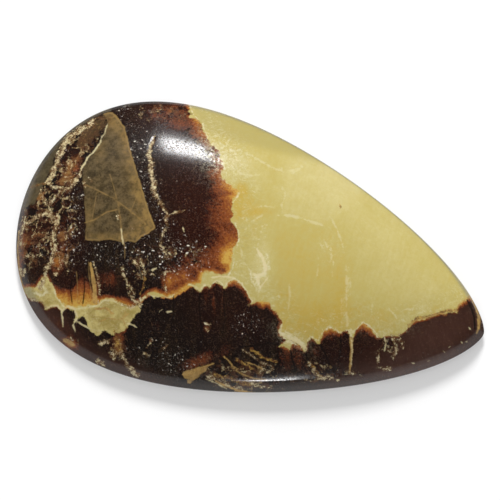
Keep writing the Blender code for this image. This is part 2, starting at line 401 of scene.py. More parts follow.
# A short name for the strokes of each filling, in the order of Seam
CREAM, THREAD, GOLD, LINE, TAN, PALE, FAINT, DARK = (seam.stroke for seam in Seam)
SEAMS = (
    # Wide cream seam along the inner edge of the mudstone rim, ending in a thin golden one
    CREAM(4.5, 6, (93, 121), (86, 126.5), (79, 130.5), (72, 136)),
    CREAM(6.5, 5, (71, 136.5), (66, 142.5), (62, 148.5), (58.5, 158.5)),
    CREAM(5, 3.6, (58.5, 158.5), (54.5, 169), (51, 176), (47.5, 182.5)),
    GOLD(1.6, 1, (47.5, 182.5), (40, 184.5), (32, 187)),
    # Bright thin seam past the left side of the chip, widening below it
    THREAD(0.8, 1, (107.9, 123.6), (105.6, 129.6), (104.8, 134), (101.2, 138)),
    THREAD(1, 1.4, (101.2, 138), (100.6, 142.6), (97.2, 146.6), (93.6, 152)),
    THREAD(1.2, 1.8, (93.6, 152), (87.6, 157.2), (85.4, 162), (81.5, 168)),
    CREAM(2.4, 4, (81.5, 168), (79, 176), (73, 182), (69.5, 188)),
    CREAM(2.2, 2, (69.5, 188), (59.3, 192), (53.6, 199.3), (49.3, 204.5)),
    CREAM(2.6, 3.4, (49.3, 204.5), (48.6, 212), (54, 218.5)),
    CREAM(4.4, 5.2, (56.5, 217), (55, 228), (51.5, 240), (53.5, 247)),
    CREAM(4.2, 5, (53.5, 247), (52, 256), (51, 263), (46.5, 271)),
    CREAM(4, 4, (46.5, 271), (43.5, 280), (40, 287)),
    CREAM(3.4, 2, (49, 182), (52, 186.5), (58, 188), (68, 188.5)),
    CREAM(2, 2.4, (47.9, 211.6), (42, 214.5), (36.4, 216.4), (28.6, 221.4)),
    CREAM(1.8, 1.4, (28.6, 221.4), (25, 226), (22, 231)),
    CREAM(1.2, 1.6, (26, 256.6), (33, 256.5), (40, 254.6), (44.5, 258)),
    TAN(1.6, 1.8, (19, 232), (17.6, 250), (19, 272), (24, 292)),
    CREAM(1.8, 2.2, (24, 218), (22, 230), (20.5, 244)),
    CREAM(1.4, 2.2, (41, 190), (42.5, 197), (46, 205)),
    # Granular cream seam to the right of the chip
    CREAM(1.9, 4.3, (154.5, 137), (150.5, 146), (148.5, 154), (151, 163)),
    CREAM(4, 3.8, (151, 163), (151, 172), (153.5, 183), (154, 193)),
    CREAM(3.4, 3.5, (154, 193), (158.5, 199), (162.5, 207), (167.5, 214)),
    CREAM(2.7, 1.9, (167.5, 214), (165, 219), (167, 226)),
    CREAM(1, 0.5, (170, 214), (177, 212.6), (185.7, 209.5)),
    CREAM(1.2, 0.6, (166, 226), (162, 236), (161, 246), (168.5, 258)),
    # Rim of the pocket
    CREAM(1.8, 1.8, (27, 298), (34, 300.5), (41.5, 301.5), (46.5, 308.5)),
    THREAD(1.6, 1.4, (46.5, 308.5), (52, 305.5), (57.5, 305.5), (62, 311)),
    THREAD(1.4, 1.4, (62, 311), (67, 306), (74, 308.5), (77.5, 317)),
    THREAD(1.4, 1.2, (61.5, 311), (62.5, 319), (63, 326)),
    THREAD(1.4, 1, (75, 320), (82, 324.5), (89.6, 328.6)),
    THREAD(1.2, 0.9, (76.5, 319), (73, 325), (75, 331)),
    PALE(1.2, 1.6, (53, 287), (57, 297), (63, 306), (76, 309)),
    PALE(1.4, 1.6, (76, 309), (88, 307.5), (97, 305.5), (104, 300.5)),
    PALE(1.4, 1.2, (104, 300.5), (113, 301), (120, 304.5)),
    CREAM(1.4, 2.4, (122, 304.5), (131, 308), (137, 304), (140.5, 300.5)),
    CREAM(1.4, 1.2, (127, 288), (131, 297), (135, 302), (139.5, 306)),
    PALE(3, 2.2, (35, 293), (42, 295.5), (47, 292)),
    PALE(2.4, 3.6, (47, 292), (42, 285), (43.5, 280)),
    TAN(2.4, 3, (96, 309), (106, 308), (112, 313)),
    TAN(1.2, 1.8, (99, 322), (108, 318), (120, 320), (128, 314)),
    TAN(1.4, 1, (126, 311), (123, 319), (126, 327)),
    THREAD(1.4, 0.8, (128, 323.5), (133, 325), (136, 327)),
    # Cracks and seams up through the crystals above the pocket
    TAN(2.6, 5.6, (90.5, 264), (92.5, 275), (94.5, 288), (95, 301)),
    DARK(0.6, 0.8, (93.5, 270), (95.5, 282), (96, 298)),
    LINE(0.4, 0.8, (88.5, 262), (89, 275), (91, 290), (91.5, 302)),
    CREAM(0.6, 1.2, (94, 264), (97, 276), (99.5, 290), (98, 303)),
    LINE(0.9, 0.5, (124.2, 243.5), (124.8, 250), (124.8, 258)),
    PALE(4.6, 3.2, (127, 259.5), (129, 263), (131, 267)),
    CREAM(1.2, 0.6, (131, 258), (137, 264), (142, 271)),
    CREAM(0.8, 2.4, (122.5, 268), (124.5, 277), (128, 284), (133, 292)),
    GOLD(1.6, 1.6, (142, 271), (144.5, 279), (143, 287), (140, 294)),
    CREAM(1, 1.4, (139, 256), (143, 263), (144.5, 275)),
    CREAM(1.2, 1.6, (61.5, 249.5), (59, 258), (60.5, 266), (55.5, 274)),
    CREAM(1.6, 1, (68, 254.5), (66.5, 263), (68, 272)),
    LINE(0.4, 0.9, (76.5, 272), (77.5, 285), (77.8, 303)),
    DARK(1, 1, (72, 280), (70.5, 290), (72, 302)),
    DARK(1, 1.4, (84, 278), (84.5, 290), (83, 303)),
    CREAM(0.9, 0.8, (163.5, 272), (164.3, 281), (166, 290)),
    CREAM(1, 0.8, (164, 272.5), (170, 271.5), (177, 274)),
    PALE(1.8, 1.6, (141.5, 299), (150, 295.5), (158, 297.3), (170, 297.6)),
    PALE(1.6, 1.4, (170, 297.6), (178, 291.5), (187, 284)),
    # Lines in and around the chip
    LINE(0.5, 1, (109.9, 174.6), (113.6, 186), (118, 204), (119.6, 214)),
    LINE(1.2, 1.4, (119.6, 214), (120.8, 223), (121.6, 236), (123.6, 243.5)),
    LINE(0.9, 1.2, (84.8, 184.4), (97, 190), (112, 197.5), (128, 209)),
    LINE(1.2, 1.4, (128, 209), (137, 216.5), (145, 223.5)),
    LINE(1.4, 1.2, (86, 222.3), (95, 219.5), (107, 212), (118.5, 209.3)),
    LINE(0.4, 0.5, (97, 192), (95, 202), (92, 219)),
    LINE(0.5, 0.5, (137, 196), (132, 208), (128, 219)),
    THREAD(0.6, 1.2, (121.3, 229), (121.8, 236), (123.2, 243)),
    # Cream and whitish lines at the meeting of the two crystal masses
    THREAD(1.5, 1.2, (212.5, 277.5), (220, 276.5), (228, 277), (234, 278)),
    PALE(1.4, 1.2, (188.5, 284), (194, 286), (200, 290.5), (204, 285.5)),
    PALE(1.2, 1.2, (204, 285.5), (208, 284.2), (211, 286.5), (216.5, 280.3)),
    PALE(1.4, 1.6, (216.5, 280.3), (221.5, 283), (224.5, 287.5), (228, 281.5)),
    PALE(1.6, 1.6, (228, 281.5), (234, 278), (242, 283.5), (249.5, 297)),
    PALE(2.4, 1.6, (249.5, 297), (252.5, 301.5), (250, 305)),
    PALE(1.4, 2.6, (280.5, 319), (281.5, 326), (279, 333), (286, 341)),
    PALE(2.4, 4.4, (280, 332.5), (288, 336), (297, 340.5), (303, 345)),
    PALE(3, 1.6, (282, 341.5), (290, 341.5), (298, 345.5), (306, 350)),
    THREAD(1.4, 2, (281, 334), (290, 338.5), (299, 343), (306, 348)),
    THREAD(1.4, 1, (286, 332), (294, 336), (301, 341.5)),
    GOLD(0.8, 0.6, (284, 339.5), (292, 340.5), (300, 346)),
    PALE(1.4, 1.2, (307, 341), (310.8, 336.6), (318, 341), (321.5, 334)),
    PALE(1.4, 1.2, (321.5, 334), (328.5, 326.8), (336, 330), (340.5, 333)),
    PALE(1.4, 1.4, (340.5, 333), (346, 330.3), (350.5, 333), (354.5, 331.5)),
    PALE(1.4, 1.2, (354.5, 331.5), (363, 322), (371.5, 328), (378.5, 336)),
    PALE(3.2, 2, (350.8, 331), (351.2, 341), (352, 350)),
    TAN(3.6, 2.4, (351.2, 339), (351.6, 350), (350.8, 362), (349.6, 372)),
    THREAD(1.2, 0.9, (351.8, 341), (352.2, 352), (351.2, 364)),
    CREAM(2, 1.4, (349.6, 372), (354, 374), (358.5, 371.5)),
    PALE(2.4, 1.2, (376.5, 334.5), (378.5, 342), (379, 350)),
    CREAM(0.9, 0.7, (379, 350), (378.5, 358), (377.5, 366)),
    CREAM(1.2, 0.9, (384.5, 340), (387, 346), (390, 352)),
    CREAM(2.4, 2, (391.5, 336), (394, 342), (396, 349), (394, 358)),
    THREAD(1.2, 0.8, (384, 336), (386, 343), (384.5, 350)),
    CREAM(1.4, 0.9, (399, 335), (400.5, 341), (403, 347.5)),
    CREAM(0.9, 1.1, (377.5, 366.5), (383, 369), (390, 368.5)),
    TAN(1.2, 1.4, (408, 327), (416, 320), (427, 317.5), (437, 313.5)),
    TAN(1.4, 1.2, (437, 313.5), (445, 313.5), (448, 309), (456, 311)),
    TAN(1.4, 2, (456, 311), (459, 304.5), (466, 299), (473, 293)),
    GOLD(3.2, 2.8, (409, 324.5), (417, 318.5), (428, 316), (438, 313.5)),
    GOLD(2.8, 2.4, (438, 313.5), (447, 310.5), (456, 310.5)),
    DARK(1.8, 1.6, (467, 299.5), (471, 307), (474, 316), (475, 328)),
    TAN(2, 3.4, (470, 296.5), (474.5, 304), (478, 313), (479.2, 321)),
    TAN(3.4, 2, (479.2, 321), (478.5, 328), (477, 333)),
    GOLD(0.8, 1, (475.5, 304), (479.6, 313), (481, 322)),
    # Lines between the crystals of the lower mass
    DARK(1.4, 1, (200, 291.7), (199.5, 305), (200.5, 322), (203, 340)),
    DARK(1.4, 1, (224.2, 289.2), (223.5, 302), (225, 318), (222.5, 335)),
    DARK(1.6, 1.2, (173.5, 297), (173, 310), (174, 326)),
    DARK(1.2, 0.8, (250, 304), (252, 315), (251, 330), (256, 344)),
    DARK(1.6, 1.2, (280, 345), (268, 343), (254, 346), (240, 347)),
    DARK(1.8, 1.4, (290.5, 350.8), (292.5, 361), (297.5, 372), (298, 379)),
    DARK(1.8, 1.4, (305.8, 351.7), (308, 362), (312, 372), (314, 379)),
    DARK(1.6, 1.2, (278.5, 347), (277.5, 356), (283, 366)),
    DARK(1.8, 1.2, (320, 344.5), (325, 353), (329, 363), (331, 372)),
    DARK(1.4, 1, (340.5, 335), (341, 348), (338, 362)),
    # Golden fan, streaks and flecks along the bottom
    TAN(4.6, 1.6, (184.5, 373.5), (193, 370.5), (203, 367), (213, 363.8)),
    TAN(5.6, 4.6, (187, 376.5), (195, 374), (204, 370)),
    TAN(4.4, 4, (189.5, 381.5), (192, 379), (197.5, 375.5)),
    CREAM(1.2, 1, (243.5, 350), (252, 355.5), (261, 362), (272, 366.5)),
    TAN(1.8, 1.4, (224.5, 357.5), (229, 361), (233, 366.5), (238, 369)),
    GOLD(3, 2.2, (237, 359), (247, 366), (258, 372.5)),
    GOLD(3, 2.4, (252, 349.5), (262, 357), (276, 362)),
    TAN(1, 2.2, (246, 362), (254, 364.5), (262, 369)),
    PALE(3.4, 3, (267, 380), (271, 375.5), (276, 371)),
    PALE(2.4, 1.4, (263, 376), (269, 374), (275, 376), (281, 379)),
    CREAM(2, 2.4, (262, 370), (268, 371.5), (273, 368.5)),
    CREAM(2.2, 1.6, (208, 376.5), (218, 380), (230, 386), (242, 389.5)),
    GOLD(3.4, 3, (214, 375), (226, 377.5), (238, 381.5), (252, 384.5)),
    TAN(2, 3.6, (216, 381), (226, 386), (238, 390.5), (250, 393)),
    TAN(3.6, 1.6, (250, 393), (260, 394), (270, 393)),
    TAN(1.2, 1.8, (232, 368), (242, 374), (254, 378.5), (266, 380)),
    DARK(1.6, 1.2, (212, 378), (224, 381), (236, 386), (248, 388)),
    THREAD(0.9, 0.7, (206, 379), (216, 383), (226, 388.5)),
    CREAM(1.6, 1.2, (246, 381), (257, 385.5), (270, 388)),
    GOLD(2.4, 1.6, (114.3, 332), (116, 339), (119, 346), (121.5, 352)),
    CREAM(2.2, 3.4, (121.5, 351), (123.5, 357.5), (127, 364), (131, 369.5)),
    CREAM(4.2, 3.2, (130, 366.5), (133.5, 372), (137.5, 375)),
    CREAM(3.8, 2.6, (111.5, 354), (113, 358.5), (115, 357)),
    CREAM(3, 2.4, (101, 343.5), (105, 342), (108, 342.5)),
    CREAM(4, 3.6, (97.5, 361.5), (100.5, 362.5), (102.5, 364)),
    TAN(4.6, 4, (65.5, 340.5), (69, 342), (72.5, 344.5)),
    CREAM(1.2, 1, (70.5, 338), (73, 341)),
    CREAM(3, 2, (20.5, 270), (22, 276), (24.5, 271)),
    CREAM(1.6, 1, (308, 362), (313, 367.5), (318, 375)),
    GOLD(2.4, 1.6, (310.5, 364), (316.5, 372), (322, 378)),
    CREAM(1.4, 1, (306, 380), (312, 381.5), (322, 377.5), (331, 379)),
    CREAM(2, 1.2, (329, 376), (334, 379.5), (339, 380.5)),
    CREAM(1.6, 1.4, (205.5, 323.5), (209, 324.5)),
    CREAM(1.8, 1, (206, 328.5), (208, 330)),
    # Cracks and veils in the yellow calcite
    FAINT(1, 1.2, (281.5, 165), (283, 180), (281.5, 198), (283, 213)),
    FAINT(2.2, 1.8, (279, 215.5), (290, 215.5), (305, 219.5), (321, 225)),
    FAINT(0.8, 1, (329, 215), (337, 229), (342.5, 245), (345.5, 262)),
    FAINT(1.2, 2.2, (345.5, 262), (347, 274), (346.8, 290)),
    FAINT(1.8, 1, (346.8, 290), (346.5, 310), (348, 333)),
    FAINT(2.2, 1, (320.5, 243.5), (321.5, 247)),
    FAINT(1.2, 2, (324.5, 239.5), (327, 247)),
    FAINT(0.8, 0.6, (318, 252), (318.5, 262), (317.5, 275)),
    FAINT(0.6, 0.8, (331, 248), (331.5, 256), (330, 262)),
    FAINT(0.7, 0.5, (341.5, 300), (341, 312), (342, 326)),
    FAINT(0.5, 0.6, (349.5, 268), (350.5, 282), (350, 296)),
    FAINT(0.6, 0.5, (371, 292), (372, 305), (371, 316)),
    FAINT(1, 0.7, (400, 312.5), (406, 309), (413, 309.5)),
    FAINT(0.9, 0.7, (399, 316), (405, 321.5), (404, 327)),
    FAINT(0.8, 0.6, (289, 283), (290, 296), (288.5, 308)),
    FAINT(1, 1.4, (244, 210.5), (252, 207.5), (262, 206), (274, 207.5)),
    FAINT(1.2, 0.8, (243, 218.5), (249, 223), (256, 219), (262, 215.5)),
    FAINT(0.8, 1, (245, 229), (253, 228), (261, 231)),
    FAINT(1, 0.7, (262.5, 226), (260.5, 236), (258, 244)),
    FAINT(0.8, 0.6, (268, 222), (265, 230), (265.5, 240)),
    FAINT(0.8, 0.8, (238, 240), (242, 252), (240, 266)),
    FAINT(1, 0.7, (244, 262), (250, 270), (251.5, 282)),
    FAINT(1.2, 0.8, (262, 162), (270, 166.5), (283, 172), (292, 170.5)),
    FAINT(1.2, 0.8, (292, 170.5), (299, 168), (305, 163.5)),
    FAINT(1, 0.8, (230, 151), (240, 150), (252, 156), (262, 162)),
    FAINT(0.9, 0.6, (240, 173), (250, 176), (262, 174)),
    FAINT(1, 0.7, (284, 186), (285, 198), (281, 205)),
    FAINT(1, 0.8, (333.5, 262), (333, 268), (332, 275)),
    FAINT(1.2, 1, (388.5, 308), (392.5, 312.5), (397.5, 318.5)),
    GOLD(1, 1, (340, 206), (340.3, 207.4)),
    PALE(1.4, 3, (257.5, 249), (259.5, 253), (261, 256.5)),
    PALE(2, 3.6, (262.5, 258), (264.5, 263), (265.5, 270)),
    PALE(1, 1.6, (266.5, 254), (269, 260), (269.5, 268)),
    THREAD(1.6, 3, (257, 249.5), (259, 252.5), (261.5, 255.5)),
    THREAD(2.4, 3.4, (263, 259), (264.5, 263), (266, 268.5)),
    THREAD(2, 3, (254, 273.6), (258, 275.4), (263, 274)),
    THREAD(3, 1.6, (258, 279), (259, 283)),
    PALE(3, 4.6, (254, 274.5), (259, 276), (264, 274.5)),
    PALE(3.6, 1.8, (256.5, 277), (258, 282), (260, 287)),
    PALE(1.6, 1.2, (251, 272), (251.5, 280), (254.5, 286)),
    THREAD(1.2, 0.7, (259.8, 288), (263.5, 283), (267.5, 278)),
    FAINT(1.2, 0.8, (260, 288), (258, 296), (258.5, 302)),
    PALE(1.4, 1, (236, 190.5), (239.5, 193), (236.5, 198), (233.5, 202)),
    PALE(1.2, 1, (203, 124), (203.8, 129), (206.5, 134.5), (208, 141)),
    PALE(1, 1.4, (212, 144), (219, 150), (223, 160), (224.5, 168)),
    PALE(1.2, 1, (189, 103.5), (191, 109), (193, 114), (197, 118)),
    PALE(1, 0.8, (224, 181), (226, 184), (231, 185)),
    PALE(1.2, 1, (234.5, 223), (238.5, 231), (239, 238.5), (236.5, 247)),
    PALE(1, 1, (233.5, 250), (234, 262), (232, 270), (228, 275.5)),
    FAINT(1.6, 1.2, (292, 173), (297, 171), (303, 166)),
    # Flecks on the left
    CREAM(2, 1.4, (89, 179.5), (91.5, 181)),
    CREAM(1.2, 1.2, (84.5, 182), (84.8, 186)),
    CREAM(2.4, 1, (118.5, 217.5), (121.5, 219.5)),
    CREAM(1.6, 1.4, (130.5, 226.5), (133, 228)),
    THREAD(1.6, 1.2, (152.5, 270), (155.5, 268.6)),
    THREAD(1, 0.6, (141, 262), (143, 266)),
    THREAD(1.2, 0.8, (169, 253), (171, 255)),
    THREAD(0.9, 0.7, (183, 228.5), (184, 231.5)),
    THREAD(0.9, 0.6, (160, 311), (162, 309.5)),
    THREAD(0.7, 0.6, (443.6, 351.4), (444.2, 351.8)),
    THREAD(0.8, 0.6, (449.5, 347), (450, 346.8)),
    THREAD(0.6, 0.5, (428.5, 361), (429, 360.8)),
    CREAM(1, 0.8, (151, 274.5), (156, 274.8)),
    CREAM(2.2, 1.4, (145, 353), (148, 355)),
    THREAD(1.5, 1, (168, 312), (171, 311.5)),
    CREAM(0.9, 0.7, (147, 347), (149.5, 344), (151, 340.5)),
    CREAM(1.4, 1, (163.5, 347.5), (166, 346)),
    THREAD(1.4, 1, (469.8, 328.5), (470.6, 329.4)),
    THREAD(1.1, 0.9, (466.4, 341.8), (467, 341.4)),
    THREAD(0.8, 0.7, (461.2, 341.8), (461.6, 342.4)),
    THREAD(1.4, 1.1, (412.8, 363), (414, 363.4)),
    CREAM(1.8, 1.4, (392, 356.5), (394.5, 355)),
)

# Light inside the crystals away from their edges: red-brown and amber places
AMBER_POOLS = (
    Pool(70, 170, 6, 12, 22, 0.62), Pool(74, 160, 5, 8, 25, 0.3), Pool(40, 200, 5, 8, 0, 0.52),
    Pool(62, 238, 5, 22, 4, 0.5), Pool(28, 240, 7, 10, 0, 0.4), Pool(38, 232, 9, 7, 0, 0.25),
    Pool(56, 262, 5, 9, 0, 0.5), Pool(96, 288, 4, 14, -6, 0.4), Pool(109, 279, 7, 7, 0, 0.26),
    Pool(198, 362, 16, 6, -24, 0.34), Pool(226, 350, 12, 7, -30, 0.1),
    Pool(152, 327, 8, 7, 0, 0.1), Pool(284, 358, 5, 12, -12, 0.26),
    Pool(298, 357, 5, 11, -14, 0.26), Pool(316, 352, 5, 7, -20, 0.15),
    Pool(332, 337, 8, 6, 0, 0.15), Pool(365, 331, 8, 6, 0, 0.2), Pool(118, 341, 4, 8, 12, 0.75),
    Pool(170, 111, 20, 8, -4, 0.3), Pool(186, 124, 16, 6, -4, 0.3), Pool(207, 279, 4, 5, 0, 1),
    Pool(168, 283, 5, 9, 0, 0.55), Pool(182, 279, 10, 8, 0, 0.5), Pool(227, 212, 8, 22, 0, 0.3),
    Pool(222, 248, 12, 20, 20, 0.34), Pool(200, 262, 20, 12, 0, 0.28),
    Pool(456, 306, 10, 6, -24, 0.12), Pool(20, 262, 4, 22, 4, 0.34), Pool(70, 343, 7, 4, 30, 0.8),
    Pool(213, 300, 2, 14, -6, 0.2), Pool(206, 297, 2.5, 9, 0, 0.16),
    Pool(223, 300, 2, 14, 0, 0.12), Pool(207, 328, 3, 4, 0, 0.3), Pool(60, 326, 16, 7, 40, 0.14),
    Pool(228, 258, 6, 10, 12, 0.8),
)

# Brighter and deeper places in the yellow calcite. The spot at (238, 166) is a painted highlight:
# the pale haze beside the softbox's reflection.
LIGHT_POOLS = (
    Pool(330, 178, 34, 26, 24, 0.18), Pool(254, 208, 10, 9, 0, -0.16),
    Pool(238, 166, 16, 14, 30, 0.36), Pool(390, 240, 50, 30, 38, 0.16),
    Pool(241, 204, 6, 11, 10, -1), Pool(239, 190, 4, 6, 10, -0.9),
    Pool(256, 212, 14, 4, -6, -0.25), Pool(300, 322, 32, 18, 0, -0.3),
    Pool(360, 318, 40, 12, 0, -0.2), Pool(340, 300, 7, 34, 0, -0.14),
    Pool(250, 122, 60, 9, -26, -0.1), Pool(425, 300, 30, 16, -20, 0.05),
    Pool(263, 266, 8, 18, 0, 0.35), Pool(318, 244, 10, 14, 0, 0.08),
    Pool(222, 281, 12, 3, 0, 0.25), Pool(112, 318, 20, 12, 0, -0.16), Pool(46, 296, 14, 8, 0, 0.1),
)

# Soft spots of each other kind, by the layer that they make
SPOTS = {
    # Where the crystals are maroon and not black
    "red": (
        Pool(196, 205, 34, 60, -6, 1), Pool(170, 112, 40, 14, -4, 0.9),
        Pool(210, 262, 30, 22, 0, 0.9), Pool(48, 328, 30, 16, 44, 1),
        Pool(120, 368, 50, 10, 24, 0.6), Pool(30, 262, 16, 24, 0, 0.7),
        Pool(76, 232, 12, 40, 0, 0.6), Pool(430, 345, 60, 30, -24, 1),
        Pool(350, 352, 40, 18, 0, 0.6), Pool(240, 320, 40, 22, 0, 0.55),
        Pool(68, 286, 14, 12, 0, 0.7), Pool(112, 284, 20, 12, 0, 0.5),
    ),
    # Even, slightly milky chocolate brown
    "milk": (
        Pool(435, 345, 44, 26, -24, 1), Pool(48, 327, 30, 15, 44, 1),
        Pool(120, 368, 50, 8, 24, 0.6), Pool(380, 372, 60, 12, -10, 0.6),
    ),
    # Black sugary crystals with bright specks, partly white grains and partly painted glints of
    # small facets
    "sugar": (
        Pool(139, 150, 10, 40, -16, 0.85), Pool(152, 210, 9, 36, -14, 1),
        Pool(120, 251, 50, 9, 0, 0.85), Pool(168, 248, 26, 16, 20, 0.8),
        Pool(76, 208, 9, 38, 2, 1), Pool(134, 268, 34, 12, 0, 0.55),
        Pool(164, 345, 40, 26, 20, 0.3), Pool(250, 325, 20, 11, 10, 0.85),
        Pool(160, 140, 20, 20, 0, 0.4), Pool(186, 262, 24, 14, 0, 0.7),
        Pool(196, 196, 30, 50, 0, 0.26), Pool(60, 158, 5, 14, 20, 0.8),
        Pool(180, 370, 40, 12, 12, 0.5), Pool(120, 106, 30, 8, -20, 0.5),
        Pool(48, 248, 24, 40, 0, 0.35), Pool(400, 366, 60, 7, -18, 0.3),
        Pool(240, 345, 40, 12, 0, 0.16), Pool(172, 318, 20, 24, 0, 0.14),
    ),
    # Mixed red-brown, tan and black crystal ends
    "mottle": (
        Pool(40, 226, 18, 30, 0, 1), Pool(64, 170, 9, 28, 22, 1), Pool(66, 226, 10, 30, 0, 0.7),
        Pool(180, 254, 24, 11, 10, 0.62), Pool(136, 268, 12, 20, 0, 0.45),
        Pool(168, 112, 34, 9, -4, 0.5), Pool(86, 140, 9, 16, 32, 0.9),
        Pool(242, 376, 38, 13, 8, 0.85), Pool(118, 346, 8, 14, 0, 0.8),
        Pool(98, 276, 36, 8, 0, 0.22), Pool(46, 196, 8, 16, 10, 0.6), Pool(68, 342, 10, 8, 0, 0.5),
        Pool(318, 368, 12, 10, 0, 0.6), Pool(388, 346, 14, 10, 0, 0.5),
        Pool(340, 374, 20, 5, 0, 0.5), Pool(24, 268, 6, 20, 0, 0.4),
        Pool(215, 150, 6, 13, -28, 0.62), Pool(200, 128, 4, 8, -20, 0.4),
    ),
    # Earthy golden brown beside the chip
    "earth": (
        Pool(98, 124, 12, 6, -30, 1), Pool(90, 134, 9, 6, -40, 0.9), Pool(82, 144, 6, 6, 0, 0.5),
    ),
    # The chip's golden rim
    "gilt": (
        Pool(112, 118, 12, 8, 30, 0.8), Pool(126, 140, 5, 16, -14, 0.7),
        Pool(134, 172, 6, 22, -16, 0.6), Pool(143, 205, 8, 20, -18, 0.8),
        Pool(147, 226, 11, 8, -30, 1), Pool(130, 237, 16, 4, 4, 0.9), Pool(98, 238, 16, 3, 2, 0.7),
        Pool(89, 218, 4, 12, 0, 0.5), Pool(100, 150, 8, 5, -50, 0.4),
    ),
    # Where the stone is strewn with fine pale grains; the first two spots, beside the highlight,
    # are painted reflection: its speckled haze
    "frost_and_glare": (
        Pool(217, 150, 14, 20, -20, 1), Pool(232, 160, 16, 14, 20, 0.7),
        Pool(262, 266, 7, 20, 0, 0.6), Pool(292, 338, 14, 6, 30, 0.8),
        Pool(253, 222, 14, 16, 0, 0.14), Pool(44, 290, 10, 7, 0, 0.2),
        Pool(388, 326, 20, 8, 0, 0.25), Pool(330, 250, 12, 14, 0, 0.25),
        Pool(236, 276, 12, 5, 0, 0.4),
    ),
}


